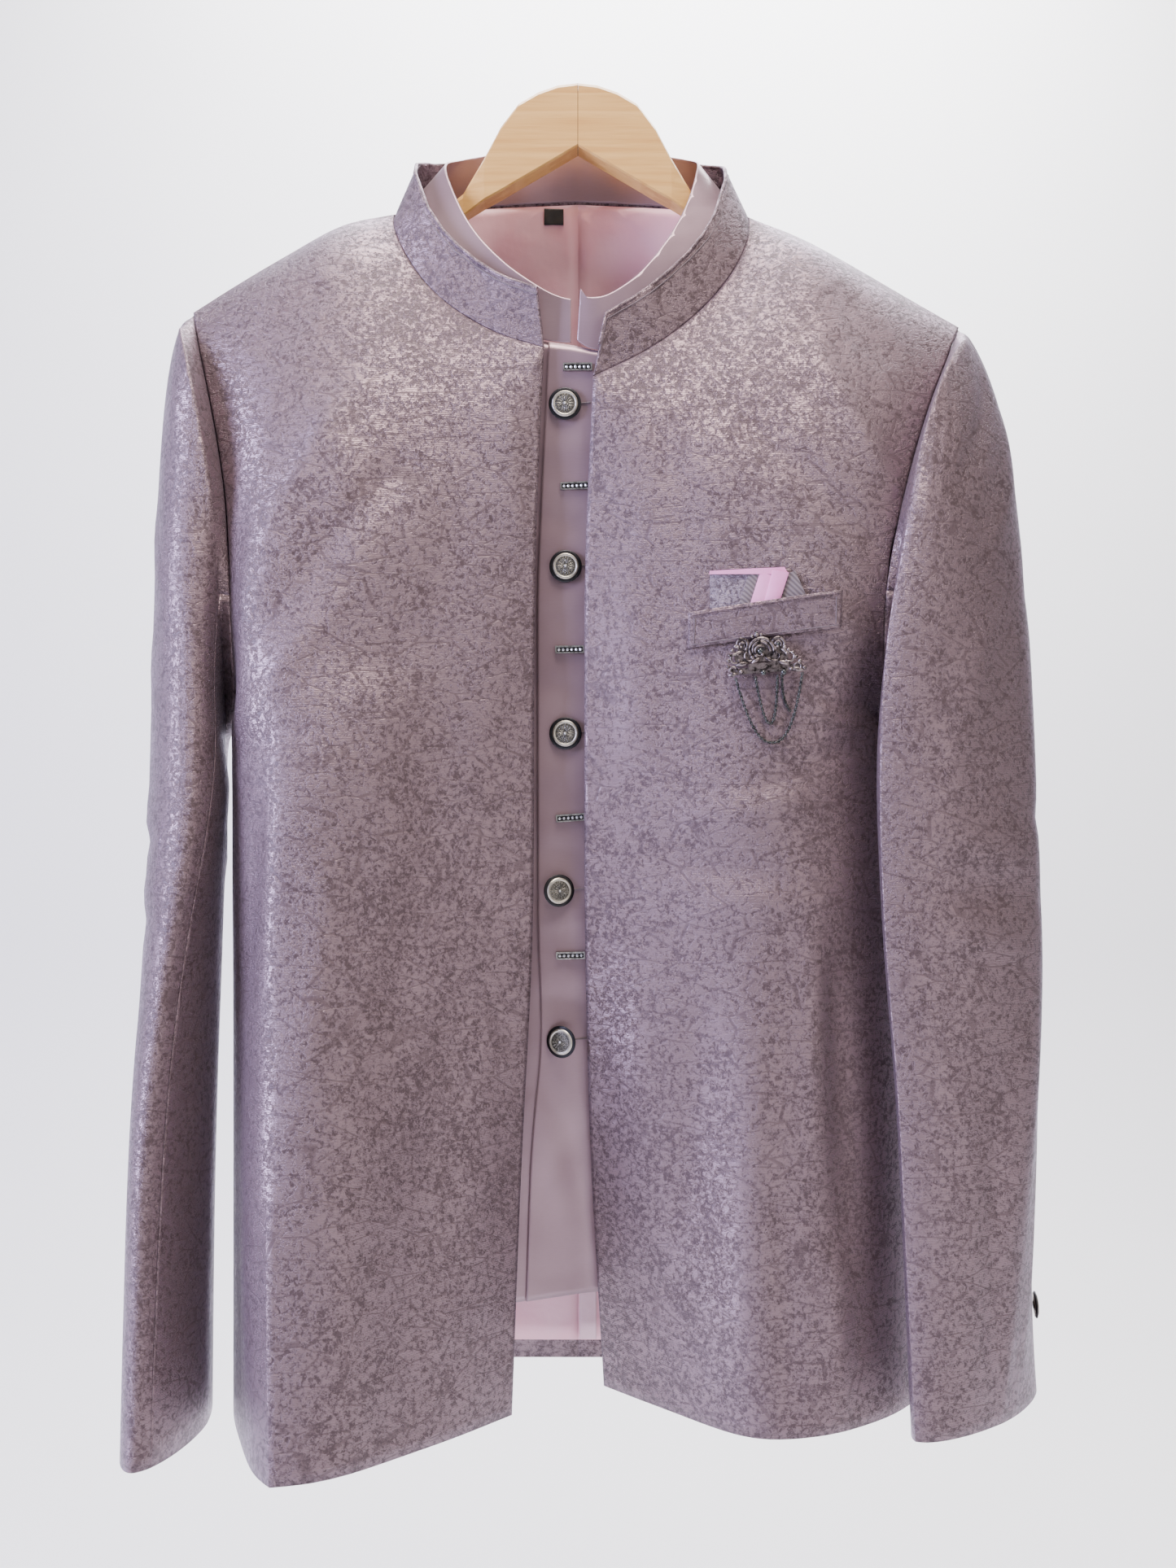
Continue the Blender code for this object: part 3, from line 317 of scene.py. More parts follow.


# The outer cloth: figured silk, a lilac satin figure broken up over a dark
# mauve-brown ground, with fine threads running across. It is cut into two
# fronts, two backs, two-piece sleeves and a stand collar, and hangs in soft
# folds that are pressed out and drawn in here.
def figured_silk(name, lilac, ground, scale=1.35):
    silk = Finish(name, {
        "Specular IOR Level": 0.6, "Specular Tint": (0.86, 0.84, 1.0),
        "Sheen Weight": 0.10, "Sheen Roughness": 0.35, "Sheen Tint": (0.70, 0.70, 1.0)})
    place = silk.place()
    drift = silk.noise(place, 11.0 * scale, detail=2.0)
    clouds = silk.noise(place, 46.0 * scale, detail=3.0, roughness=0.6, distortion=0.4)
    figure = silk.noise(place, 250.0 * scale, detail=5.0, roughness=0.72, distortion=0.5)
    grains = silk.noise(place, 720.0 * scale, detail=2.0, roughness=0.7)
    cover = figure + (clouds - 0.5) * 0.22 + (drift - 0.5) * 0.10 + (grains - 0.5) * 0.34
    lit = silk.step(cover, 0.36, 0.58)
    leaning = silk.node("Mapping", {}, {
        "Vector": place, "Rotation": (0.0, 0.9, 0.0), "Scale": (24.0 * scale, 60.0, 62.0 * scale)})
    steeper = silk.node("Mapping", {}, {
        "Vector": place, "Rotation": (0.0, -0.7, 0.0), "Scale": (16.0 * scale, 40.0, 48.0 * scale)})
    strokes = silk.node("TexVoronoi", {"feature": "DISTANCE_TO_EDGE"}, {"Vector": leaning, "Scale": 1.0})
    scores = silk.node("TexVoronoi", {"feature": "DISTANCE_TO_EDGE"}, {"Vector": steeper, "Scale": 1.0})
    gaps = silk.step(clouds + (figure - 0.5) * 0.5, 0.46, 0.58)
    marks = (1 - silk.step(strokes, 0.012, 0.05)) * gaps
    cuts = (1 - silk.step(scores, 0.010, 0.04)) * (1 - gaps)
    lit = lit * (1 - 0.55 * silk.step(marks + cuts, 0.0, 1.0))
    weft = silk.node("TexWave", {"bands_direction": "Z"}, {
        "Vector": place, "Scale": 270.0 * scale, "Distortion": 0.6, "Detail": 1.0,
        "Detail Scale": 0.4}, output="Fac")
    lit = lit * (0.90 + weft * 0.16)
    silk.feed(silk.shader.inputs["Base Color"], silk.mix(lit, ground, lilac))
    silk.feed(silk.shader.inputs["Roughness"], 0.44 - lit * 0.10)
    silk.feed(silk.shader.inputs["Metallic"], 0.30 + lit * 0.45)
    rumple = silk.noise(place, 30.0, detail=2.0, roughness=0.5)
    soft = silk.relief(rumple, 0.0030, 0.45)
    raised = silk.relief(lit * 0.75 + grains * 0.35, 0.00032, 0.85, below=soft)
    silk.feed(silk.shader.inputs["Normal"], silk.relief(weft, 0.00008, 0.6, below=raised))
    return silk


silk = figured_silk("figured silk", (0.268, 0.194, 0.216), (0.088, 0.058, 0.061))

# Ridges and troughs seen from the front, from and to (x, z); and on the back
FRONT_CREASES = [Crease(*row) for row in (
    (-186, -300, -120, -185, 9, 1.6), (-192, -352, -96, -236, 11, -1.8),
    (-190, -392, -128, -318, 9, 1.5), (-150, -190, -118, -310, 15, 1.4),
    (-60, -210, -82, -330, 17, -1.5), (-46, -330, -66, -470, 15, 1.3),
    (-112, -360, -98, -520, 15, 1.4), (-88, -470, -112, -612, 12, -1.7),
    (-134, -470, -146, -600, 10, 1.5), (-52, -560, -60, -740, 15, 1.8),
    (-86, -610, -96, -792, 13, -2.0), (-124, -640, -120, -794, 12, 1.9),
    (-176, -430, -186, -560, 8, -1.5), (-182, -600, -178, -760, 8, 1.4),
    (-40, -200, -33, -290, 9, 0.9), (-150, -128, -188, -176, 12, -1.3),
    (184, -262, 132, -168, 9, 1.6), (180, -300, 96, -214, 11, -1.6),
    (172, -352, 110, -292, 9, 1.2), (48, -212, 66, -300, 14, -1.3),
    (30, -300, 36, -420, 13, 1.2), (58, -446, 132, -436, 9, 1.9),
    (46, -470, 118, -478, 8, -1.8), (60, -500, 148, -492, 9, 1.3),
    (96, -432, 158, -404, 8, -1.4), (30, -520, 34, -680, 13, 1.5),
    (72, -540, 64, -700, 13, -1.7), (98, -560, 92, -780, 12, 1.9),
    (132, -500, 136, -650, 10, 1.8), (150, -520, 156, -700, 10, -1.9),
    (44, -700, 40, -792, 12, -1.4), (118, -660, 122, -794, 10, -1.6),
    (146, -690, 150, -792, 9, 1.6), (150, -132, 186, -184, 12, -1.2),
    (-196, -408, -150, -396, 7, -1.2), (166, -398, 128, -382, 7, 1.0),
)]
BACK_CREASES = [Crease(*row) for row in (
    (-60, -120, -150, -250, 14, 1.8), (60, -120, 146, -262, 14, 1.8),
    (-96, -150, -176, -330, 12, -1.8), (100, -160, 178, -318, 12, -1.6),
    (-30, -240, -58, -520, 18, 1.8), (34, -260, 70, -560, 18, 1.9),
    (-90, -330, -100, -640, 16, -2.0), (98, -360, 104, -660, 15, -2.1),
    (-140, -420, -132, -700, 15, 2.0), (142, -400, 130, -690, 14, 2.0),
    (-60, -600, -50, -790, 15, -1.8), (30, -620, 40, -790, 13, 1.7),
    (-112, -650, -118, -792, 13, 1.9), (84, -660, 92, -792, 14, -1.8),
    (-164, -340, -120, -300, 9, 1.4), (168, -352, 118, -306, 9, 1.3),
    (-46, -96, 44, -98, 7, 1.0), (-70, -112, 66, -116, 8, -1.0),
)]
# The creases die out this near the side seams, and stand this much deeper
SIDE_FADE = 26.0
CREASE_DEPTH = 1.5


def push_body(points):
    """Move points of the fronts and backs out and in along the creases."""
    front = points[:, 1] < 0
    across, up = points[:, 0], points[:, 2]
    rise = np.where(front, crease_heights(across, up, FRONT_CREASES),
                    crease_heights(across, up, BACK_CREASES))
    rise *= np.clip(np.abs(points[:, 1]) / (SIDE_FADE * MM), 0, 1)
    away = np.stack([across * 0.35, points[:, 1], np.zeros(len(points))], axis=1)
    away /= np.maximum(np.linalg.norm(away, axis=1, keepdims=True), 1e-6)
    rise = np.where(front, rise * CREASE_DEPTH, np.maximum(rise * CREASE_DEPTH, -BACK_CLEAR))
    return points + away * rise[:, None]


BODY_CUTS = {
    "back_left": (0.26, 0.76, 0.179), "back_right": (0.26, 0.76, 0.179),
    "front_left": (0.28, 0.76, 0.194), "front_right": (0.28, 0.76, 0.194),
}
for name, flat in BODY_CUTS.items():
    levels = 3 if name.startswith("front") else 2
    mesh = fine_wall(name, levels)
    hang_piece(name, mesh, silk,
               push_body(mesh_points(mesh)))


# The sleeves: a top and an under piece each, sewn front and back, set into the
# armhole. They hang flat, pinched at the elbow. Creases are given by how far
# round the sleeve they lie, in degrees from straight out through the front.
SleeveLine = namedtuple("SleeveLine", "x_top y_top x_cuff y_cuff")
SLEEVE_LINES = {
    "left": SleeveLine(-226, -8, -235, -55),
    "right": SleeveLine(215, -15, 236, -35),
}
SLEEVE_TOP, SLEEVE_CUFF, SLEEVE_RADIUS = -270.0, -796.0, 46.0
SLEEVE_CREASES = {
    "left": (
        (20, -250, 95, -330, 9, 1.4), (60, -210, 120, -300, 9, -1.4),
        (-20, -300, 60, -372, 9, 1.3), (30, -440, 110, -462, 8, 2.0),
        (20, -466, 96, -448, 6, -2.2), (40, -492, 128, -478, 8, 1.9),
        (10, -520, 86, -500, 7, -1.6), (-40, -470, 20, -452, 8, 1.4),
        (70, -560, 84, -700, 8, 1.2), (30, -600, 40, -750, 10, -1.2),
        (-30, -560, -24, -740, 10, 1.2), (150, -460, 230, -486, 9, 1.4),
    ),
    "right": (
        (10, -206, 64, -300, 9, 1.8), (34, -182, 92, -262, 8, -1.6),
        (-30, -240, 30, -330, 9, -1.2), (70, -330, 110, -452, 9, 1.3),
        (30, -470, 122, -452, 8, 2.1), (24, -492, 116, -484, 7, -2.3),
        (36, -520, 128, -508, 8, 1.9), (-10, -450, 60, -438, 8, -1.5),
        (40, -560, 60, -700, 12, 1.5), (80, -590, 88, -760, 9, -1.6),
        (10, -620, 20, -770, 11, 1.3), (-40, -520, -30, -700, 11, -1.4),
        (56, -700, 66, -792, 10, 1.4), (200, -460, 270, -486, 9, 1.5),
    ),
}
SLEEVE_CUTS = {"top": (0.23, 0.66, 0.120), "under": (0.155, 0.54, 0.070)}


def push_sleeve(points, side):
    """Move points of a sleeve along its creases, fading toward the armhole."""
    line = SLEEVE_LINES[side]
    down = np.clip((points[:, 2] / MM - SLEEVE_TOP) / (SLEEVE_CUFF - SLEEVE_TOP), 0, 1)
    middle_x = (line.x_top + (line.x_cuff - line.x_top) * down) * MM
    middle_y = (line.y_top + (line.y_cuff - line.y_top) * down) * MM
    away = np.stack([points[:, 0] - middle_x, points[:, 1] - middle_y], axis=1)
    reach = np.maximum(np.linalg.norm(away, axis=1, keepdims=True), 1e-6)
    away /= reach
    hand = -1.0 if side == "left" else 1.0
    turn = np.degrees(np.arctan2(-away[:, 1], away[:, 0] * hand))
    turn = np.where(turn < -90, turn + 360, turn)
    per_degree = math.radians(1.0) * SLEEVE_RADIUS
    creases = [Crease(x0 * per_degree, z0, x1 * per_degree, z1, width, height)
               for x0, z0, x1, z1, width, height in SLEEVE_CREASES[side]]
    rise = crease_heights(turn * per_degree * MM, points[:, 2], creases)
    moved = points.copy()
    moved[:, :2] += away * rise[:, None]
    return moved


for side in ("left", "right"):
    for half, flat in SLEEVE_CUTS.items():
        name = half + "_sleeve_" + side
        mesh = fine_wall(name, 3 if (half == "top") else 2)
        hang_piece(name, mesh, silk,
                   push_sleeve(mesh_points(mesh), side))


# The stand collar: figured silk, standing open at the front, with soft waves
# round it. Its rim is bound and stitched in a later section.
def rim_line(name, count):
    """Points along the upper rim of a collar, from one front end to the other."""
    points = mesh_points(nodes[name].data)
    middle = (points.min(axis=0) + points.max(axis=0)) / 2
    turn = np.arctan2(points[:, 0] - middle[0], points[:, 1] - middle[1])
    lowest, highest = turn.min(), turn.max()
    line = []
    for k in range(count + 1):
        target = lowest + (highest - lowest) * k / count
        near = np.abs(turn - target) < (highest - lowest) / count * 0.9
        if near.any():
            group = points[near]
            top = group[group[:, 2] > group[:, 2].max() - 0.0012]
            line.append(top.mean(axis=0))
    return line


def cord_along(name, line, radius, finish):
    """A thin rolled edge or thread: a round tube along a smooth line."""
    curve = bpy.data.curves.new(name, "CURVE")
    curve.dimensions = "3D"
    curve.bevel_depth = radius
    curve.bevel_resolution = 2
    curve.use_fill_caps = True
    spline = curve.splines.new("POLY")
    spline.points.add(len(line) - 1)
    for point, place in zip(spline.points, line):
        point.co = (*place, 1.0)
    item = bpy.data.objects.new(name, curve)
    bpy.context.scene.collection.objects.link(item)
    bpy.context.view_layer.update()
    mesh = bpy.data.meshes.new_from_object(item.evaluated_get(bpy.context.evaluated_depsgraph_get()))
    bpy.data.objects.remove(item)
    mesh.materials.clear()
    mesh.materials.append(finish.material)
    mesh.shade_smooth()
    tube = bpy.data.objects.new(name, mesh)
    bpy.context.scene.collection.objects.link(tube)
    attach(tube, "root")


COLLAR_CREASES = [Crease(*row) for row in (
    (-96, -70, -90, -100, 7, 0.7), (-60, -112, -54, -142, 6, -0.6),
    (84, -80, 78, -110, 7, 0.7), (40, -130, 46, -160, 6, 0.6),
)]


def push_collar(points, creases):
    """Soft waves round a stand collar, along its own radius."""
    rise = crease_heights(points[:, 0], points[:, 2], creases)
    around = np.arctan2(points[:, 0] + 0.004, -points[:, 1])
    ripple = 0.35 * np.sin(around * 9.0 + 0.7) + 0.25 * np.sin(around * 17.0 + 2.1)
    away = np.stack([points[:, 0] + 0.004, points[:, 1]], axis=1)
    away /= np.maximum(np.linalg.norm(away, axis=1, keepdims=True), 1e-6)
    moved = points.copy()
    moved[:, :2] += away * (rise + ripple * 0.4 * MM)[:, None]
    return moved


mesh = fine_wall("outer_collar", 3)
hang_piece("outer_collar", mesh, silk,
           push_collar(mesh_points(mesh), COLLAR_CREASES))


# The satin: plain dusty mauve, closely woven and slippery. It makes the inner
# collar and the inner front, whose right half laps over the left and dips
# softly between its fastenings.
satin = Finish("mauve satin", {
    "Metallic": 0.45, "Anisotropic": 0.4, "Sheen Weight": 0.15, "Sheen Roughness": 0.35})
place = satin.place()
soft = satin.noise(place, 24.0, detail=2.0, roughness=0.45, distortion=0.3)
fibre = satin.node("Mapping", {}, {"Vector": place, "Scale": (260.0, 260.0, 2600.0)})
threads = satin.noise(fibre, 1.0, detail=2.0)
# Painted shade: the colour darkens with the noise that raises the soft puckers, and with the threads
satin.feed(satin.shader.inputs["Base Color"], satin.mix(
    satin.step(soft, 0.3, 0.75) * 0.55 + threads * 0.3, (0.38, 0.265, 0.305), (0.27, 0.180, 0.212)))
satin.feed(satin.shader.inputs["Roughness"], 0.30 + threads * 0.12)
satin.feed(satin.shader.inputs["Normal"], satin.relief(
    threads, 0.00005, 0.5, below=satin.relief(soft, 0.0022, 0.5)))

INNER_CREASES = [Crease(*row) for row in (
    (-28, -232, 6, -226, 9, 0.9), (-28, -270, 8, -276, 8, -1.0),
    (-30, -322, 8, -316, 9, 0.9), (-30, -368, 10, -374, 8, -1.0),
    (-28, -422, 10, -416, 9, 0.9), (-28, -466, 10, -470, 8, -0.9),
    (-26, -508, 10, -504, 8, 0.8), (-24, -552, 12, -556, 8, -0.9),
    (-28, -606, 6, -720, 10, 1.4), (-6, -620, 4, -730, 9, -1.2),
)]
for name in ("inner_front_left", "inner_front_right"):
    mesh = fine_wall(name, 3)
    points = mesh_points(mesh)
    points[:, 1] -= crease_heights(points[:, 0], points[:, 2], INNER_CREASES)
    hang_piece(name, mesh, satin, points)
mesh = fine_wall("inner_collar", 3)
hang_piece("inner_collar", mesh, satin,
           push_collar(mesh_points(mesh), ()))


# Rolled edges and worked buttonholes: a narrow binding of the outer cloth on
# the collar's rim, and a corded slit in the satin beside each front button.
RIM_STITCH = 3.2
rim = rim_line("outer_collar", 60)
cord_along("collar_binding", rim, 1.25 * MM, silk)

wall = bpy.data.objects["outer_collar_cloth"].data
tree = BVHTree.FromPolygons([v.co for v in wall.vertices], [tuple(p.vertices) for p in wall.polygons])
collar_points = mesh_points(wall)
collar_middle = (collar_points.min(axis=0) + collar_points.max(axis=0)) / 2
stitch_line = []
for point in rim:
    outward = Vector((point[0] - collar_middle[0], point[1] - collar_middle[1], 0)).normalized()
    below = Vector(point) - Vector((0, 0, RIM_STITCH * MM))
    spot, _, _, _ = tree.ray_cast(below + outward * 0.05, -outward)
    if spot is not None and (spot - below).length < 0.020:
        stitch_line.append(spot + outward * 0.00015)

thread = Finish("twisted thread", {"Sheen Weight": 0.3})
twist = thread.noise(thread.place(), 2600.0, detail=1.0)
thread.feed(thread.shader.inputs["Base Color"], thread.mix(
    twist, (0.085, 0.060, 0.070), (0.19, 0.14, 0.16)))
thread.feed(thread.shader.inputs["Roughness"], 0.55 + twist * 0.2)
thread.feed(thread.shader.inputs["Normal"], thread.relief(twist, 0.0001, 0.6))

cord_along("collar_stitching", stitch_line, 0.35 * MM, thread)


class Touch:
    """Finds where a line straight back from the camera side meets a piece of cloth."""

    def __init__(self, piece):
        mesh = bpy.data.objects[piece].data
        self.tree = BVHTree.FromPolygons(
            [v.co for v in mesh.vertices], [tuple(p.vertices) for p in mesh.polygons])

    def place(self, x, z, lift):
        """A point on the cloth at (x, z), stood off by a lift, all in millimetres."""
        spot, normal, _, _ = self.tree.ray_cast(Vector((x * MM, -0.4, z * MM)), Vector((0, 1, 0)))
        return spot + normal * lift * MM if normal.y < 0 else spot - normal * lift * MM


BUTTONHOLE = 15.0
lap = Touch("inner_front_right_cloth")
for number in range(1, 6):
    low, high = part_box("button_" + str(number))
    x, z = (low.x + high.x) / 2 / MM, (low.z + high.z) / 2 / MM
    line = [lap.place(x + BUTTONHOLE * k / 10, z + 0.1 * k, 0.25) for k in range(11)]
    cord_along("buttonhole_" + str(number), line, 0.55 * MM, thread)


# The pocket: a slanting welt of the outer cloth, and a folded square behind it
# made of a figured panel, two grey twill folds and a pink silk fold whose edge
# runs on along the top.
def pressed_wall(name, grids, thickness, finish):
    """Closed thin walls over grids of points, joined in one mesh."""
    shape = bmesh.new()
    for grid in grids:
        skins = []
        for depth in (0.0, thickness):
            skins.append([[shape.verts.new(p + Vector((0, depth, 0))) for p in row] for row in grid])
        front, rear = skins
        rows, columns = len(grid), len(grid[0])
        for i in range(rows - 1):
            for j in range(columns - 1):
                shape.faces.new((front[i][j], front[i][j + 1], front[i + 1][j + 1], front[i + 1][j]))
                shape.faces.new((rear[i][j], rear[i + 1][j], rear[i + 1][j + 1], rear[i][j + 1]))
            for j in (0, columns - 1):
                shape.faces.new((front[i][j], front[i + 1][j], rear[i + 1][j], rear[i][j]))
        for j in range(columns - 1):
            for i in (0, rows - 1):
                shape.faces.new((front[i][j], front[i][j + 1], rear[i][j + 1], rear[i][j]))
    bmesh.ops.recalc_face_normals(shape, faces=shape.faces)
    return finished_mesh(name, shape, finish)


Fold = namedtuple("Fold", "low_left low_right high_right high_left lift puff")


def fold_grid(fold, steps=(14, 12)):
    """Points of one flat fold lying on the front, puffed a little in its middle."""
    low_left, low_right, high_right, high_left = (Vector(c) for c in fold[:4])
    grid = []
    for i in range(steps[1] + 1):
        up = i / steps[1]
        left, right = low_left.lerp(high_left, up), low_right.lerp(high_right, up)
        row = []
        for j in range(steps[0] + 1):
            along = j / steps[0]
            spot = left.lerp(right, along)
            puff = fold.puff * math.sin(math.pi * along) ** 0.7
            row.append(chest.place(spot.x, spot.y, fold.lift + puff))
        grid.append(row)
    return grid


chest = Touch("front_right_cloth")
pink_silk = plain_cloth("pink silk", (0.93, 0.38, 0.68), (0.86, 0.27, 0.56), 0.42)
twill = Finish("grey twill", {"Sheen Weight": 0.2})
ribs = twill.node("TexWave", {"bands_direction": "DIAGONAL"}, {
    "Vector": twill.place(), "Scale": 210.0, "Distortion": 0.5}, output="Fac")
twill.feed(twill.shader.inputs["Base Color"], twill.mix(ribs, (0.120, 0.095, 0.105), (0.250, 0.205, 0.222)))
twill.feed(twill.shader.inputs["Roughness"], 0.50 + ribs * 0.15)
twill.feed(twill.shader.inputs["Normal"], twill.relief(ribs, 0.0002, 0.6))
fine_silk = figured_silk(
    "figured silk of the square", (0.330, 0.275, 0.350), (0.105, 0.078, 0.092), scale=1.9)

SQUARE_FOLDS = {
    "square_pattern": (fine_silk, "jacquard", 0.022, 0.031, 0.00049, (
        Fold((75.6, -333.0), (91.0, -332.0), (97.0, -307.2), (75.6, -307.6), 1.2, 0.3),)),
    "square_grey": (twill, "square_grey", 0.024, 0.030, 0.00044, (
        Fold((90.0, -332.0), (96.6, -331.0), (103.4, -307.6), (97.2, -307.4), 1.7, 0.3),
        Fold((112.4, -328.5), (131.6, -325.0), (123.2, -306.4), (119.2, -308.0), 1.4, 0.4))),
    "square_pink": (pink_silk, "square_pink", 0.045, 0.030, 0.00047, (
        Fold((96.2, -331.0), (105.6, -330.5), (112.4, -309.6), (103.6, -307.2), 2.2, 0.5),
        Fold((104.2, -330.5), (112.8, -329.0), (119.8, -307.6), (110.6, -305.8), 2.9, 0.6),
        Fold((75.4, -307.9), (119.6, -308.4), (117.2, -304.4), (75.6, -306.0), 2.3, 0.3))),
}
for name, (finish, slot, width, length, area, folds) in SQUARE_FOLDS.items():
    mesh = pressed_wall(name, [fold_grid(fold) for fold in folds], 0.5 * MM, finish)
    hang_piece(name, mesh, finish)

mesh = fine_wall("pocket_welt", 3)
points = mesh_points(mesh)
edge = np.abs((points[:, 2] + 0.3338 - (points[:, 0] - 0.106) * 0.14) / (16 * MM))
points[:, 1] -= 0.7 * MM * np.clip(1 - edge ** 2, 0, 1)
hang_piece("pocket_welt", mesh, silk, points)

# The welt's fold stands proud along its top, and thread holds its ends and foot
welt_face = Touch("pocket_welt_cloth")
WELT_LINES = {
    "welt_fold": ((65.2, -331.0), (147.6, -319.0), 0.7, silk),
    "welt_foot": ((65.0, -347.8), (147.4, -337.0), 0.3, thread),
    "welt_end_left": ((66.6, -332.8), (66.4, -346.8), 0.3, thread),
    "welt_end_right": ((146.2, -321.0), (146.1, -336.2), 0.3, thread),
}
for name, (start, end, radius, finish) in WELT_LINES.items():
    line = [welt_face.place(start[0] + (end[0] - start[0]) * k / 16,
                            start[1] + (end[1] - start[1]) * k / 16, 0.1) for k in range(17)]
    cord_along(name, line, radius * MM, finish)


# Metal: cast buttons and bars of antique silver, their hollows blackened and
# their high places rubbed bright.
def cast_metal(name, bright, dark, roughness, grain):
    metal = Finish(name, {"Metallic": 1.0})
    place = metal.place()
    stain = metal.noise(place, grain, detail=4.0, roughness=0.65)
    pits = metal.noise(place, grain * 5, detail=2.0)
    metal.feed(metal.shader.inputs["Base Color"], metal.mix(metal.step(stain, 0.40, 0.66), bright, dark))
    metal.feed(metal.shader.inputs["Roughness"], roughness + stain * 0.25)
    metal.feed(metal.shader.inputs["Normal"], metal.relief(pits + stain, 0.00015, 0.5))
    return metal


def own_axes(node, toward):
    """Points and middle of a small solid, and its thinnest direction, facing out."""
    points = np.unique(np.round(mesh_points(nodes[node].data), 6), axis=0)
    middle = (points.min(axis=0) + points.max(axis=0)) / 2
    _, _, axes = np.linalg.svd(points - points.mean(axis=0))
    thin = axes[2] if axes[2] @ np.array(toward) > 0 else -axes[2]
    return points, middle, thin


def stand(mesh, name, node, place, ahead, up, scale=1.0):
    """Place a small piece made about its own Z, facing a direction."""
    ahead = Vector(ahead).normalized()
    side = Vector(up).cross(ahead).normalized()
    up = ahead.cross(side)
    matrix = Matrix((side * scale, up * scale, ahead * scale)).transposed().to_4x4()
    matrix.translation = Vector(place)
    piece = bpy.data.objects.new(name, mesh)
    bpy.context.scene.collection.objects.link(piece)
    piece.matrix_world = matrix
    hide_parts(node)
    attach(piece, "root")
    return piece


BUTTON_RADIUS = 9.5
ROSETTE_EDGE, RING_EDGE = 0.62, 0.80
BUTTON_TURNS = 104


def button_height(share, turn):
    """How high the button's face stands at a share of its radius and a turn about it."""
    if share < 0.07:
        return 3.85
    if share < ROSETTE_EDGE:
        petals = 0.17 * math.cos(16 * turn) * math.sin(math.pi * share / ROSETTE_EDGE)
        beads = 0.12 * math.cos(2 * math.pi * share * 9)
        return 3.5 - 0.5 * share + petals + beads
    if share < RING_EDGE:
        across = (share - ROSETTE_EDGE) / (RING_EDGE - ROSETTE_EDGE)
        return 3.05 + 0.40 * math.sin(math.pi * across)
    knurl = 0.34 * abs(math.cos(26 * turn))
    return 2.55 - 2.4 * (share - RING_EDGE) + (knurl if 0.84 < share < 0.99 else 0.0)


def button_mesh():
    shares = [0.03, 0.06, 0.09] + [0.09 + 0.53 * k / 14 for k in range(1, 15)]
    shares += [0.65, 0.68, 0.71, 0.74, 0.77, 0.80, 0.83, 0.86, 0.90, 0.94, 0.98, 1.0]
    shape = bmesh.new()
    rings = []
    for share in shares:
        rings.append([(share, button_height(share, 2 * math.pi * k / BUTTON_TURNS))
                      for k in range(BUTTON_TURNS)])
    for share, height in ((0.98, 1.5), (0.88, 0.9), (0.30, 0.6), (0.26, 0.05)):
        rings.append([(share, height)] * BUTTON_TURNS)
    loops = []
    for ring in rings:
        loop = []
        for k, (share, height) in enumerate(ring):
            turn = 2 * math.pi * k / BUTTON_TURNS
            loop.append(shape.verts.new((
                share * BUTTON_RADIUS * MM * math.cos(turn), share * BUTTON_RADIUS * MM * math.sin(turn),
                height * MM)))
        loops.append(loop)
    for first, second in zip(loops, loops[1:]):
        for k in range(BUTTON_TURNS):
            after = (k + 1) % BUTTON_TURNS
            shape.faces.new((first[k], second[k], second[after], first[after]))
    shape.faces.new(loops[0])
    shape.faces.new(loops[-1][::-1])
    bmesh.ops.recalc_face_normals(shape, faces=shape.faces)
    mesh = finished_mesh("button", shape, button_metal)
    mesh.shade_smooth()
    return mesh


button_metal = Finish("button silver", {"Metallic": 0.9})
flat_place = button_metal.node("VectorMath", {"operation": "MULTIPLY"}, {
    0: button_metal.place(), 1: (1.0, 1.0, 0.0)})
out = button_metal.node("VectorMath", {"operation": "LENGTH"}, {0: flat_place}, output="Value")
out = out / (BUTTON_RADIUS * MM)
tarnish = button_metal.noise(button_metal.place(), 900.0, detail=3.0)
spokes = button_metal.noise(button_metal.place(), 2200.0, detail=2.0)
rosette = button_metal.mix(
    button_metal.step(spokes, 0.42, 0.60), (0.045, 0.045, 0.040), (0.30, 0.285, 0.25))
ring = button_metal.mix(tarnish * 0.5, (0.58, 0.55, 0.47), (0.40, 0.37, 0.32))
face = button_metal.mix(button_metal.step(out, 0.60, 0.64), rosette, ring)
rim_tone = button_metal.mix(tarnish * 0.4, (0.022, 0.021, 0.024), (0.10, 0.10, 0.11))
face = button_metal.mix(button_metal.step(out, 0.785, 0.815), face, rim_tone)
pin = button_metal.step(out, 0.05, 0.08)
button_metal.feed(button_metal.shader.inputs["Base Color"], button_metal.mix(
    pin, (0.93, 0.92, 0.90), face))
button_metal.feed(button_metal.shader.inputs["Roughness"], 0.26 + tarnish * 0.2)
button_metal.feed(button_metal.shader.inputs["Normal"], button_metal.relief(spokes, 0.0002, 0.5))

BUTTON_FACINGS = {"button_" + str(k): (0, -1, 0) for k in range(1, 6)}
BUTTON_FACINGS["cuff_button_left"] = (-1, -0.3, 0)
BUTTON_FACINGS["cuff_button_right"] = (1, -0.3, 0)
for node, toward in BUTTON_FACINGS.items():
    points, middle, ahead = own_axes(node, toward)
    heights = (points - middle) @ ahead
    radial = (points - middle) - heights[:, None] * ahead
    width = np.linalg.norm(radial, axis=1).max()
    stand(button_mesh(), node + "_face", node, middle + ahead * heights.min(), ahead, (0.0, 0.0, 1.0),
          scale=width / (BUTTON_RADIUS * MM))


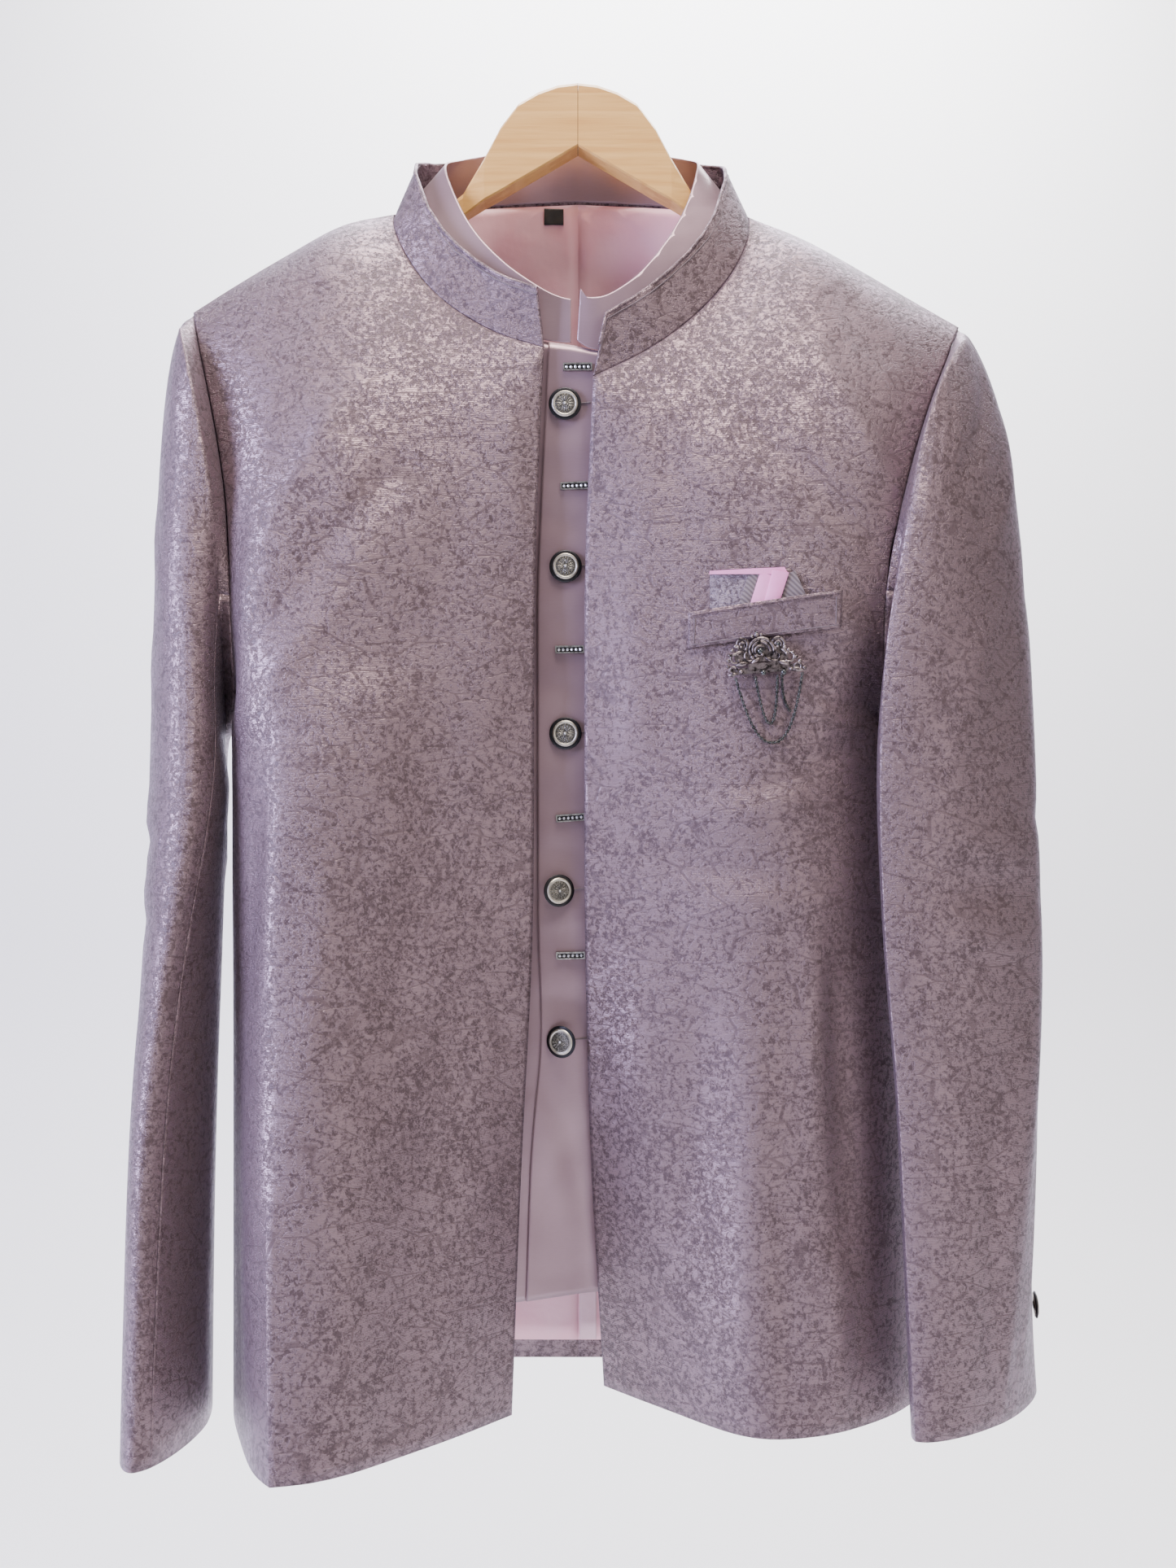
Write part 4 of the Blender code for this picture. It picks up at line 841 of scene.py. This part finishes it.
# The bars: a short channel of bright silver with six clear stones pressed in.
def block(shape, middle, size, material=0):
    made = bmesh.ops.create_cube(shape, size=1.0)
    bmesh.ops.scale(shape, verts=made["verts"], vec=Vector(size) * MM)
    bmesh.ops.translate(shape, verts=made["verts"], vec=Vector(middle) * MM)
    faces = dict.fromkeys(face for vert in made["verts"] for face in vert.link_faces)
    edges = dict.fromkeys(edge for vert in made["verts"] for edge in vert.link_edges)
    for face in faces:
        face.material_index = material
    bmesh.ops.bevel(shape, geom=list(edges), offset=min(size) * 0.22 * MM, segments=2, affect="EDGES",
                    material=-1)


def bead(shape, middle, radius, material=0, squash=1.0, fineness=2):
    made = bmesh.ops.create_icosphere(shape, subdivisions=fineness, radius=radius * MM)
    bmesh.ops.scale(shape, verts=made["verts"], vec=(1.0, 1.0, squash))
    bmesh.ops.translate(shape, verts=made["verts"], vec=Vector(middle) * MM)
    for vert in made["verts"]:
        for face in vert.link_faces:
            face.material_index = material
            face.smooth = fineness > 1


bright_metal = cast_metal("bright silver", (0.80, 0.79, 0.76), (0.34, 0.33, 0.32), 0.18, 500.0)
black_metal = cast_metal("blackened silver", (0.09, 0.085, 0.085), (0.02, 0.02, 0.02), 0.35, 500.0)
stone = Finish("clear stone", {
    "Roughness": 0.05, "Coat Weight": 1.0, "Coat Roughness": 0.03, "Metallic": 0.35})
stone.feed(stone.shader.inputs["Base Color"], stone.mix(
    stone.noise(stone.place(), 700.0), (0.93, 0.94, 0.97), (0.55, 0.57, 0.62)))
for number in range(1, 6):
    node = "bar_" + str(number)
    points, middle, ahead = own_axes(node, (0, -1, 0))
    _, _, axes = np.linalg.svd(points - points.mean(axis=0))
    long = axes[0] if axes[0][0] > 0 else -axes[0]
    up = np.cross(ahead, long)
    shape = bmesh.new()
    block(shape, (0, 0, -0.75), (17.0, 4.4, 0.6), material=2)
    block(shape, (0, 1.75, 0.0), (17.0, 0.9, 2.1))
    block(shape, (0, -1.85, -0.1), (17.0, 0.7, 1.7))
    block(shape, (-8.1, 0, -0.1), (0.8, 4.2, 1.8))
    block(shape, (8.1, 0, -0.1), (0.8, 4.2, 1.8))
    for k in range(6):
        bead(shape, (-6.4 + 2.56 * k, -0.1, 0.05), 0.98, material=1, squash=0.8, fineness=1)
    mesh = finished_mesh(node, shape, bright_metal, stone, black_metal)
    stand(mesh, node + "_jewelled", node, middle, ahead, up)


# The brooch: a cast crest of scrolls, beads and leaves over a small plate,
# pinned just below the welt, with three fine chains from its lower edge.
Scroll = namedtuple("Scroll", "x y radius start end wire")
SCROLLS = [Scroll(*row) for row in (
    (-2.4, 2.0, 8.0, -20, 215, 1.15), (-2.4, 2.2, 5.6, -10, 230, 0.9),
    (-2.6, 1.8, 3.2, 10, 300, 0.8), (-12.6, 6.4, 3.6, -60, 210, 0.9),
    (-12.4, 6.0, 1.7, -60, 240, 0.7), (7.6, 5.2, 3.9, -30, 240, 0.9),
    (7.8, 5.0, 1.9, -50, 260, 0.7), (-16.8, -1.6, 3.0, 40, 330, 0.8),
    (13.6, -2.4, 3.2, -140, 130, 0.8), (-8.6, -0.8, 3.0, 120, 330, 0.7),
    (5.6, -1.4, 3.2, -150, 60, 0.7), (17.6, -8.4, 2.3, -90, 190, 0.7),
    (-18.6, -7.8, 2.2, -20, 250, 0.7),
)]
CREST_BEADS = (
    (-3.8, 11.0, 1.5), (-1.2, 10.8, 1.1), (-6.4, 10.4, 1.1), (-16.0, 5.6, 1.2), (-18.2, 3.4, 1.2),
    (-19.8, 0.8, 1.2), (-20.8, -2.2, 1.3), (-21.2, -5.4, 1.1), (11.4, 2.8, 1.2), (13.4, 1.2, 1.1),
    (15.6, -0.6, 1.2), (17.2, -3.2, 1.2), (19.2, -5.6, 1.2), (-12.8, 9.6, 1.0), (8.0, 8.4, 1.0),
    (3.8, 7.8, 0.9), (-9.4, 8.2, 0.9), (-14.2, -8.8, 1.2), (14.0, -9.8, 1.2), (21.4, -9.6, 1.2),
)
Leaf = namedtuple("Leaf", "x y long wide turn")
LEAVES = [Leaf(*row) for row in (
    (-15.6, 1.6, 7.0, 2.4, 20), (-13.2, -4.6, 8.0, 2.6, 8), (-5.4, -3.2, 6.0, 2.4, 30),
    (2.4, -3.4, 6.0, 2.4, -30), (10.2, -5.8, 8.0, 2.8, -18), (17.0, -10.0, 9.0, 3.0, -12),
    (11.6, 0.6, 6.0, 2.2, -35), (-19.0, -10.0, 5.5, 2.4, 10), (0.0, 8.8, 5.0, 1.8, 0),
)]
DARK_STONES = ((-2.4, 1.8, 1.7), (-1.8, -10.6, 1.5), (9.6, -11.2, 1.6), (-3.8, 12.0, 0.9), (7.8, 5.0, 0.9))
BROOCH_TURN = math.radians(-5)


def wire(shape, line, radii, sides=8):
    """A round wire through a line of points, in millimetres, with flat ends."""
    rings = []
    for k, point in enumerate(line):
        ahead = (line[min(k + 1, len(line) - 1)] - line[max(k - 1, 0)]).normalized()
        side = ahead.cross(Vector((0, 0, 1)))
        side = side.normalized() if side.length > 0.01 else Vector((1, 0, 0))
        other = ahead.cross(side).normalized()
        ring = []
        for n in range(sides):
            turn = 2 * math.pi * n / sides
            reach = side * math.cos(turn) + other * math.sin(turn)
            ring.append(shape.verts.new((point + reach * radii[k]) * MM))
        rings.append(ring)
    faces = []
    for first, second in zip(rings, rings[1:]):
        for n in range(sides):
            after = (n + 1) % sides
            faces.append(shape.faces.new((first[n], first[after], second[after], second[n])))
    faces.append(shape.faces.new(rings[0][::-1]))
    faces.append(shape.faces.new(rings[-1]))
    for face in faces:
        face.smooth = True


_, brooch_middle, brooch_ahead = own_axes("brooch", (0, -1, 0))
shape = bmesh.new()
for scroll in SCROLLS:
    line, radii = [], []
    for k in range(19):
        share = k / 18
        turn = math.radians(scroll.start + (scroll.end - scroll.start) * share)
        reach = scroll.radius * (1 - 0.28 * share)
        line.append(Vector((scroll.x + reach * math.cos(turn), scroll.y + reach * math.sin(turn), 0.7)))
        radii.append(scroll.wire * (0.45 + 0.55 * math.sin(math.pi * min(1.0, share + 0.15))))
    wire(shape, line, radii)
    bead(shape, line[-1], scroll.wire * 1.15, fineness=2)
for x, y, radius in CREST_BEADS:
    bead(shape, (x, y, 0.5), radius, fineness=2)
for leaf in LEAVES:
    line, radii = [], []
    for k in range(9):
        share = k / 8
        along = (share - 0.5) * leaf.long
        turn = math.radians(leaf.turn)
        line.append(Vector((leaf.x + along * math.cos(turn), leaf.y + along * math.sin(turn), 0.1)))
        radii.append(0.08 + leaf.wide / 2 * math.sin(math.pi * share) ** 0.8)
    wire(shape, line, radii, sides=10)
for x, y, radius in DARK_STONES:
    bead(shape, (x, y, 1.1), radius, material=1, squash=0.75, fineness=2)
block(shape, (-1.2, -6.6, 0.6), (17.5, 3.6, 1.4))
for middle, size in (((-2, -1.5, -0.5), (30, 5, 0.9)), ((-2.2, 3, -0.5), (12, 9, 0.9)),
                     ((0, -8.6, -0.5), (40, 3.6, 0.9)), ((-11, 3.4, -0.5), (8, 6, 0.9)),
                     ((7.6, 3.2, -0.5), (8, 6, 0.9))):
    block(shape, middle, size)
crest_metal = cast_metal("antique crest", (0.34, 0.285, 0.285), (0.022, 0.018, 0.018), 0.30, 380.0)
dark_stone = Finish("dark stone", {"Roughness": 0.06, "Coat Weight": 1.0, "Coat Roughness": 0.03})
dark_stone.feed(dark_stone.shader.inputs["Base Color"], dark_stone.mix(
    dark_stone.noise(dark_stone.place(), 500.0), (0.010, 0.012, 0.014), (0.04, 0.05, 0.05)))
mesh = finished_mesh("brooch", shape, crest_metal, dark_stone)
tilted_up = (math.sin(BROOCH_TURN), 0.0, math.cos(BROOCH_TURN))
brooch = stand(mesh, "brooch_crest", "brooch", brooch_middle, brooch_ahead, tilted_up)

ChainLine = namedtuple("ChainLine", "first low_x low_y last last_y")
CHAIN_LINES = {
    "chain_outer": ChainLine(-17.5, 0.0, -50.0, 20.0, None),
    "chain_inner": ChainLine(-6.5, 0.0, -39.0, 6.0, None),
    "chain_drop": ChainLine(8.6, 7.6, -25.0, 12.0, -33.0),
}
BAR_EDGE = -12.4
CHAIN_LIFT = 0.95
LINK_PITCH = 1.30
LINK_LONG, LINK_WIDE, LINK_WIRE = 0.95, 0.62, 0.36
LINK_SIDES, WIRE_SIDES = 10, 6
chain_metal = cast_metal("dark chain", (0.13, 0.138, 0.132), (0.013, 0.015, 0.014), 0.28, 900.0)


def chain_points(line, count=120):
    """A hanging chain's line: from the crest's edge onto the cloth and back."""
    last_y = BAR_EDGE if line.last_y is None else line.last_y
    points = []
    for k in range(count + 1):
        t = k / count
        x = (1 - t) ** 2 * line.first + 2 * t * (1 - t) * line.low_x + t * t * line.last
        sag = 1 - abs(2 * t - 1) ** 2.4
        y = BAR_EDGE * (1 - t) + last_y * t + (line.low_y - (BAR_EDGE + last_y) / 2) * sag
        plate = brooch.matrix_world @ Vector((x * MM, y * MM, 0.0))
        cloth = chest.place(plate.x / MM, plate.z / MM, CHAIN_LIFT)
        held = 0.0 if t > 0.5 and line.last_y is not None else (2 * t - 1) ** 2
        points.append(plate.lerp(cloth, 1 - held))
    return points


def link(shape, middle, ahead, out, turned):
    """One oval link, lying flat on the cloth or on its edge."""
    ahead = ahead.normalized()
    side = out.cross(ahead).normalized() if not turned else out.normalized()
    face = ahead.cross(side)
    rings = []
    for k in range(LINK_SIDES):
        turn = 2 * math.pi * k / LINK_SIDES
        reach = ahead * math.cos(turn) * LINK_LONG + side * math.sin(turn) * LINK_WIDE
        ring = []
        for n in range(WIRE_SIDES):
            small = 2 * math.pi * n / WIRE_SIDES
            thick = reach.normalized() * math.cos(small) + face * math.sin(small)
            ring.append(shape.verts.new(middle + (reach + thick * LINK_WIRE) * MM))
        rings.append(ring)
    for k in range(LINK_SIDES):
        first, second = rings[k], rings[(k + 1) % LINK_SIDES]
        for n in range(WIRE_SIDES):
            after = (n + 1) % WIRE_SIDES
            quad = shape.faces.new((first[n], first[after], second[after], second[n]))
            quad.smooth = True


for name, line in CHAIN_LINES.items():
    points = chain_points(line)
    runs = [0.0]
    for first, second in zip(points, points[1:]):
        runs.append(runs[-1] + (second - first).length)
    count = round(runs[-1] / (LINK_PITCH * MM))
    shape = bmesh.new()
    for k in range(count):
        target = runs[-1] * (k + 0.5) / count
        index = min(np.searchsorted(runs, target), len(points) - 1)
        share = (target - runs[index - 1]) / (runs[index] - runs[index - 1])
        middle = points[index - 1].lerp(points[index], share)
        link(shape, middle, points[index] - points[index - 1], Vector(brooch_ahead), k % 2 == 1)
    bmesh.ops.recalc_face_normals(shape, faces=shape.faces)
    links = bpy.data.objects.new(name + "_links", finished_mesh(name, shape, chain_metal))
    bpy.context.scene.collection.objects.link(links)
    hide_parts(name)
    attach(links, "root")


# The room: a pale floor running up into a pale wall behind, a broad cool light
# from the left, a warmer one from the right, and the camera square to the
# jacket's front at the height of its pocket.
CAMERA_PLACE = (0.0062, -0.95, -0.4268)
CAMERA_LENS = 35.59
FLOOR_HEIGHT = -1.30
WALL_DISTANCE = 1.70
COVE_RADIUS = 0.60

room = Finish("pale paint", {"Roughness": 0.9})
mottle = room.noise(room.place(), 3.0, detail=2.0)
room.feed(room.shader.inputs["Base Color"], room.mix(mottle, (0.84, 0.84, 0.85), (0.88, 0.88, 0.88)))
profile = [(-3.0, FLOOR_HEIGHT)]
for k in range(13):
    turn = math.pi / 2 * k / 12
    profile.append((WALL_DISTANCE - COVE_RADIUS * (1 - math.sin(turn)),
                    FLOOR_HEIGHT + COVE_RADIUS * (1 - math.cos(turn))))
profile.append((WALL_DISTANCE, 2.2))
backdrop_mesh = bpy.data.meshes.new("backdrop")
corners = [(x, y, z) for y, z in profile for x in (-3.5, 3.5)]
strips = [(2 * k, 2 * k + 1, 2 * k + 3, 2 * k + 2) for k in range(len(profile) - 1)]
backdrop_mesh.from_pydata(corners, [], strips)
backdrop_mesh.shade_smooth()
backdrop_mesh.materials.append(room.material)
backdrop = bpy.data.objects.new("backdrop", backdrop_mesh)
bpy.context.scene.collection.objects.link(backdrop)

world = bpy.data.worlds.new("studio")
world.use_nodes = True
world.node_tree.nodes["Background"].inputs["Color"].default_value = (0.96, 0.95, 1.0, 1.0)
world.node_tree.nodes["Background"].inputs["Strength"].default_value = 0.22
bpy.context.scene.world = world

Lamp = namedtuple("Lamp", "name place aim width power colour")
LAMPS = [Lamp(*row) for row in (
    ("left_window", (-2.0, -0.85, 0.1), (0.0, 0.0, -0.42), 0.9, 110.0, (0.64, 0.64, 1.0)),
    ("right_window", (1.7, -2.0, 0.3), (0.0, 0.0, -0.45), 1.2, 15.0, (1.0, 0.88, 0.80)),
    ("overhead", (0.1, -0.7, 1.5), (0.0, 0.0, -0.25), 0.9, 62.0, (1.0, 0.89, 0.80)),
    ("behind", (0.2, 1.0, 1.2), (0.0, 1.7, -0.60), 1.6, 120.0, (1.0, 1.0, 1.0)),
)]
for lamp in LAMPS:
    light = bpy.data.lights.new(lamp.name, "AREA")
    light.shape = "SQUARE"
    light.size = lamp.width
    light.energy = lamp.power
    light.color = lamp.colour
    item = bpy.data.objects.new(lamp.name, light)
    item.location = lamp.place
    item.rotation_euler = (Vector(lamp.aim) - Vector(lamp.place)).to_track_quat("-Z", "Y").to_euler()
    bpy.context.scene.collection.objects.link(item)

camera = bpy.data.objects.new("camera", bpy.data.cameras.new("camera"))
camera.data.sensor_width = 36.0
camera.data.lens = CAMERA_LENS
camera.location = CAMERA_PLACE
camera.rotation_euler = (math.pi / 2, 0.0, 0.0)
bpy.context.scene.collection.objects.link(camera)
bpy.context.scene.camera = camera
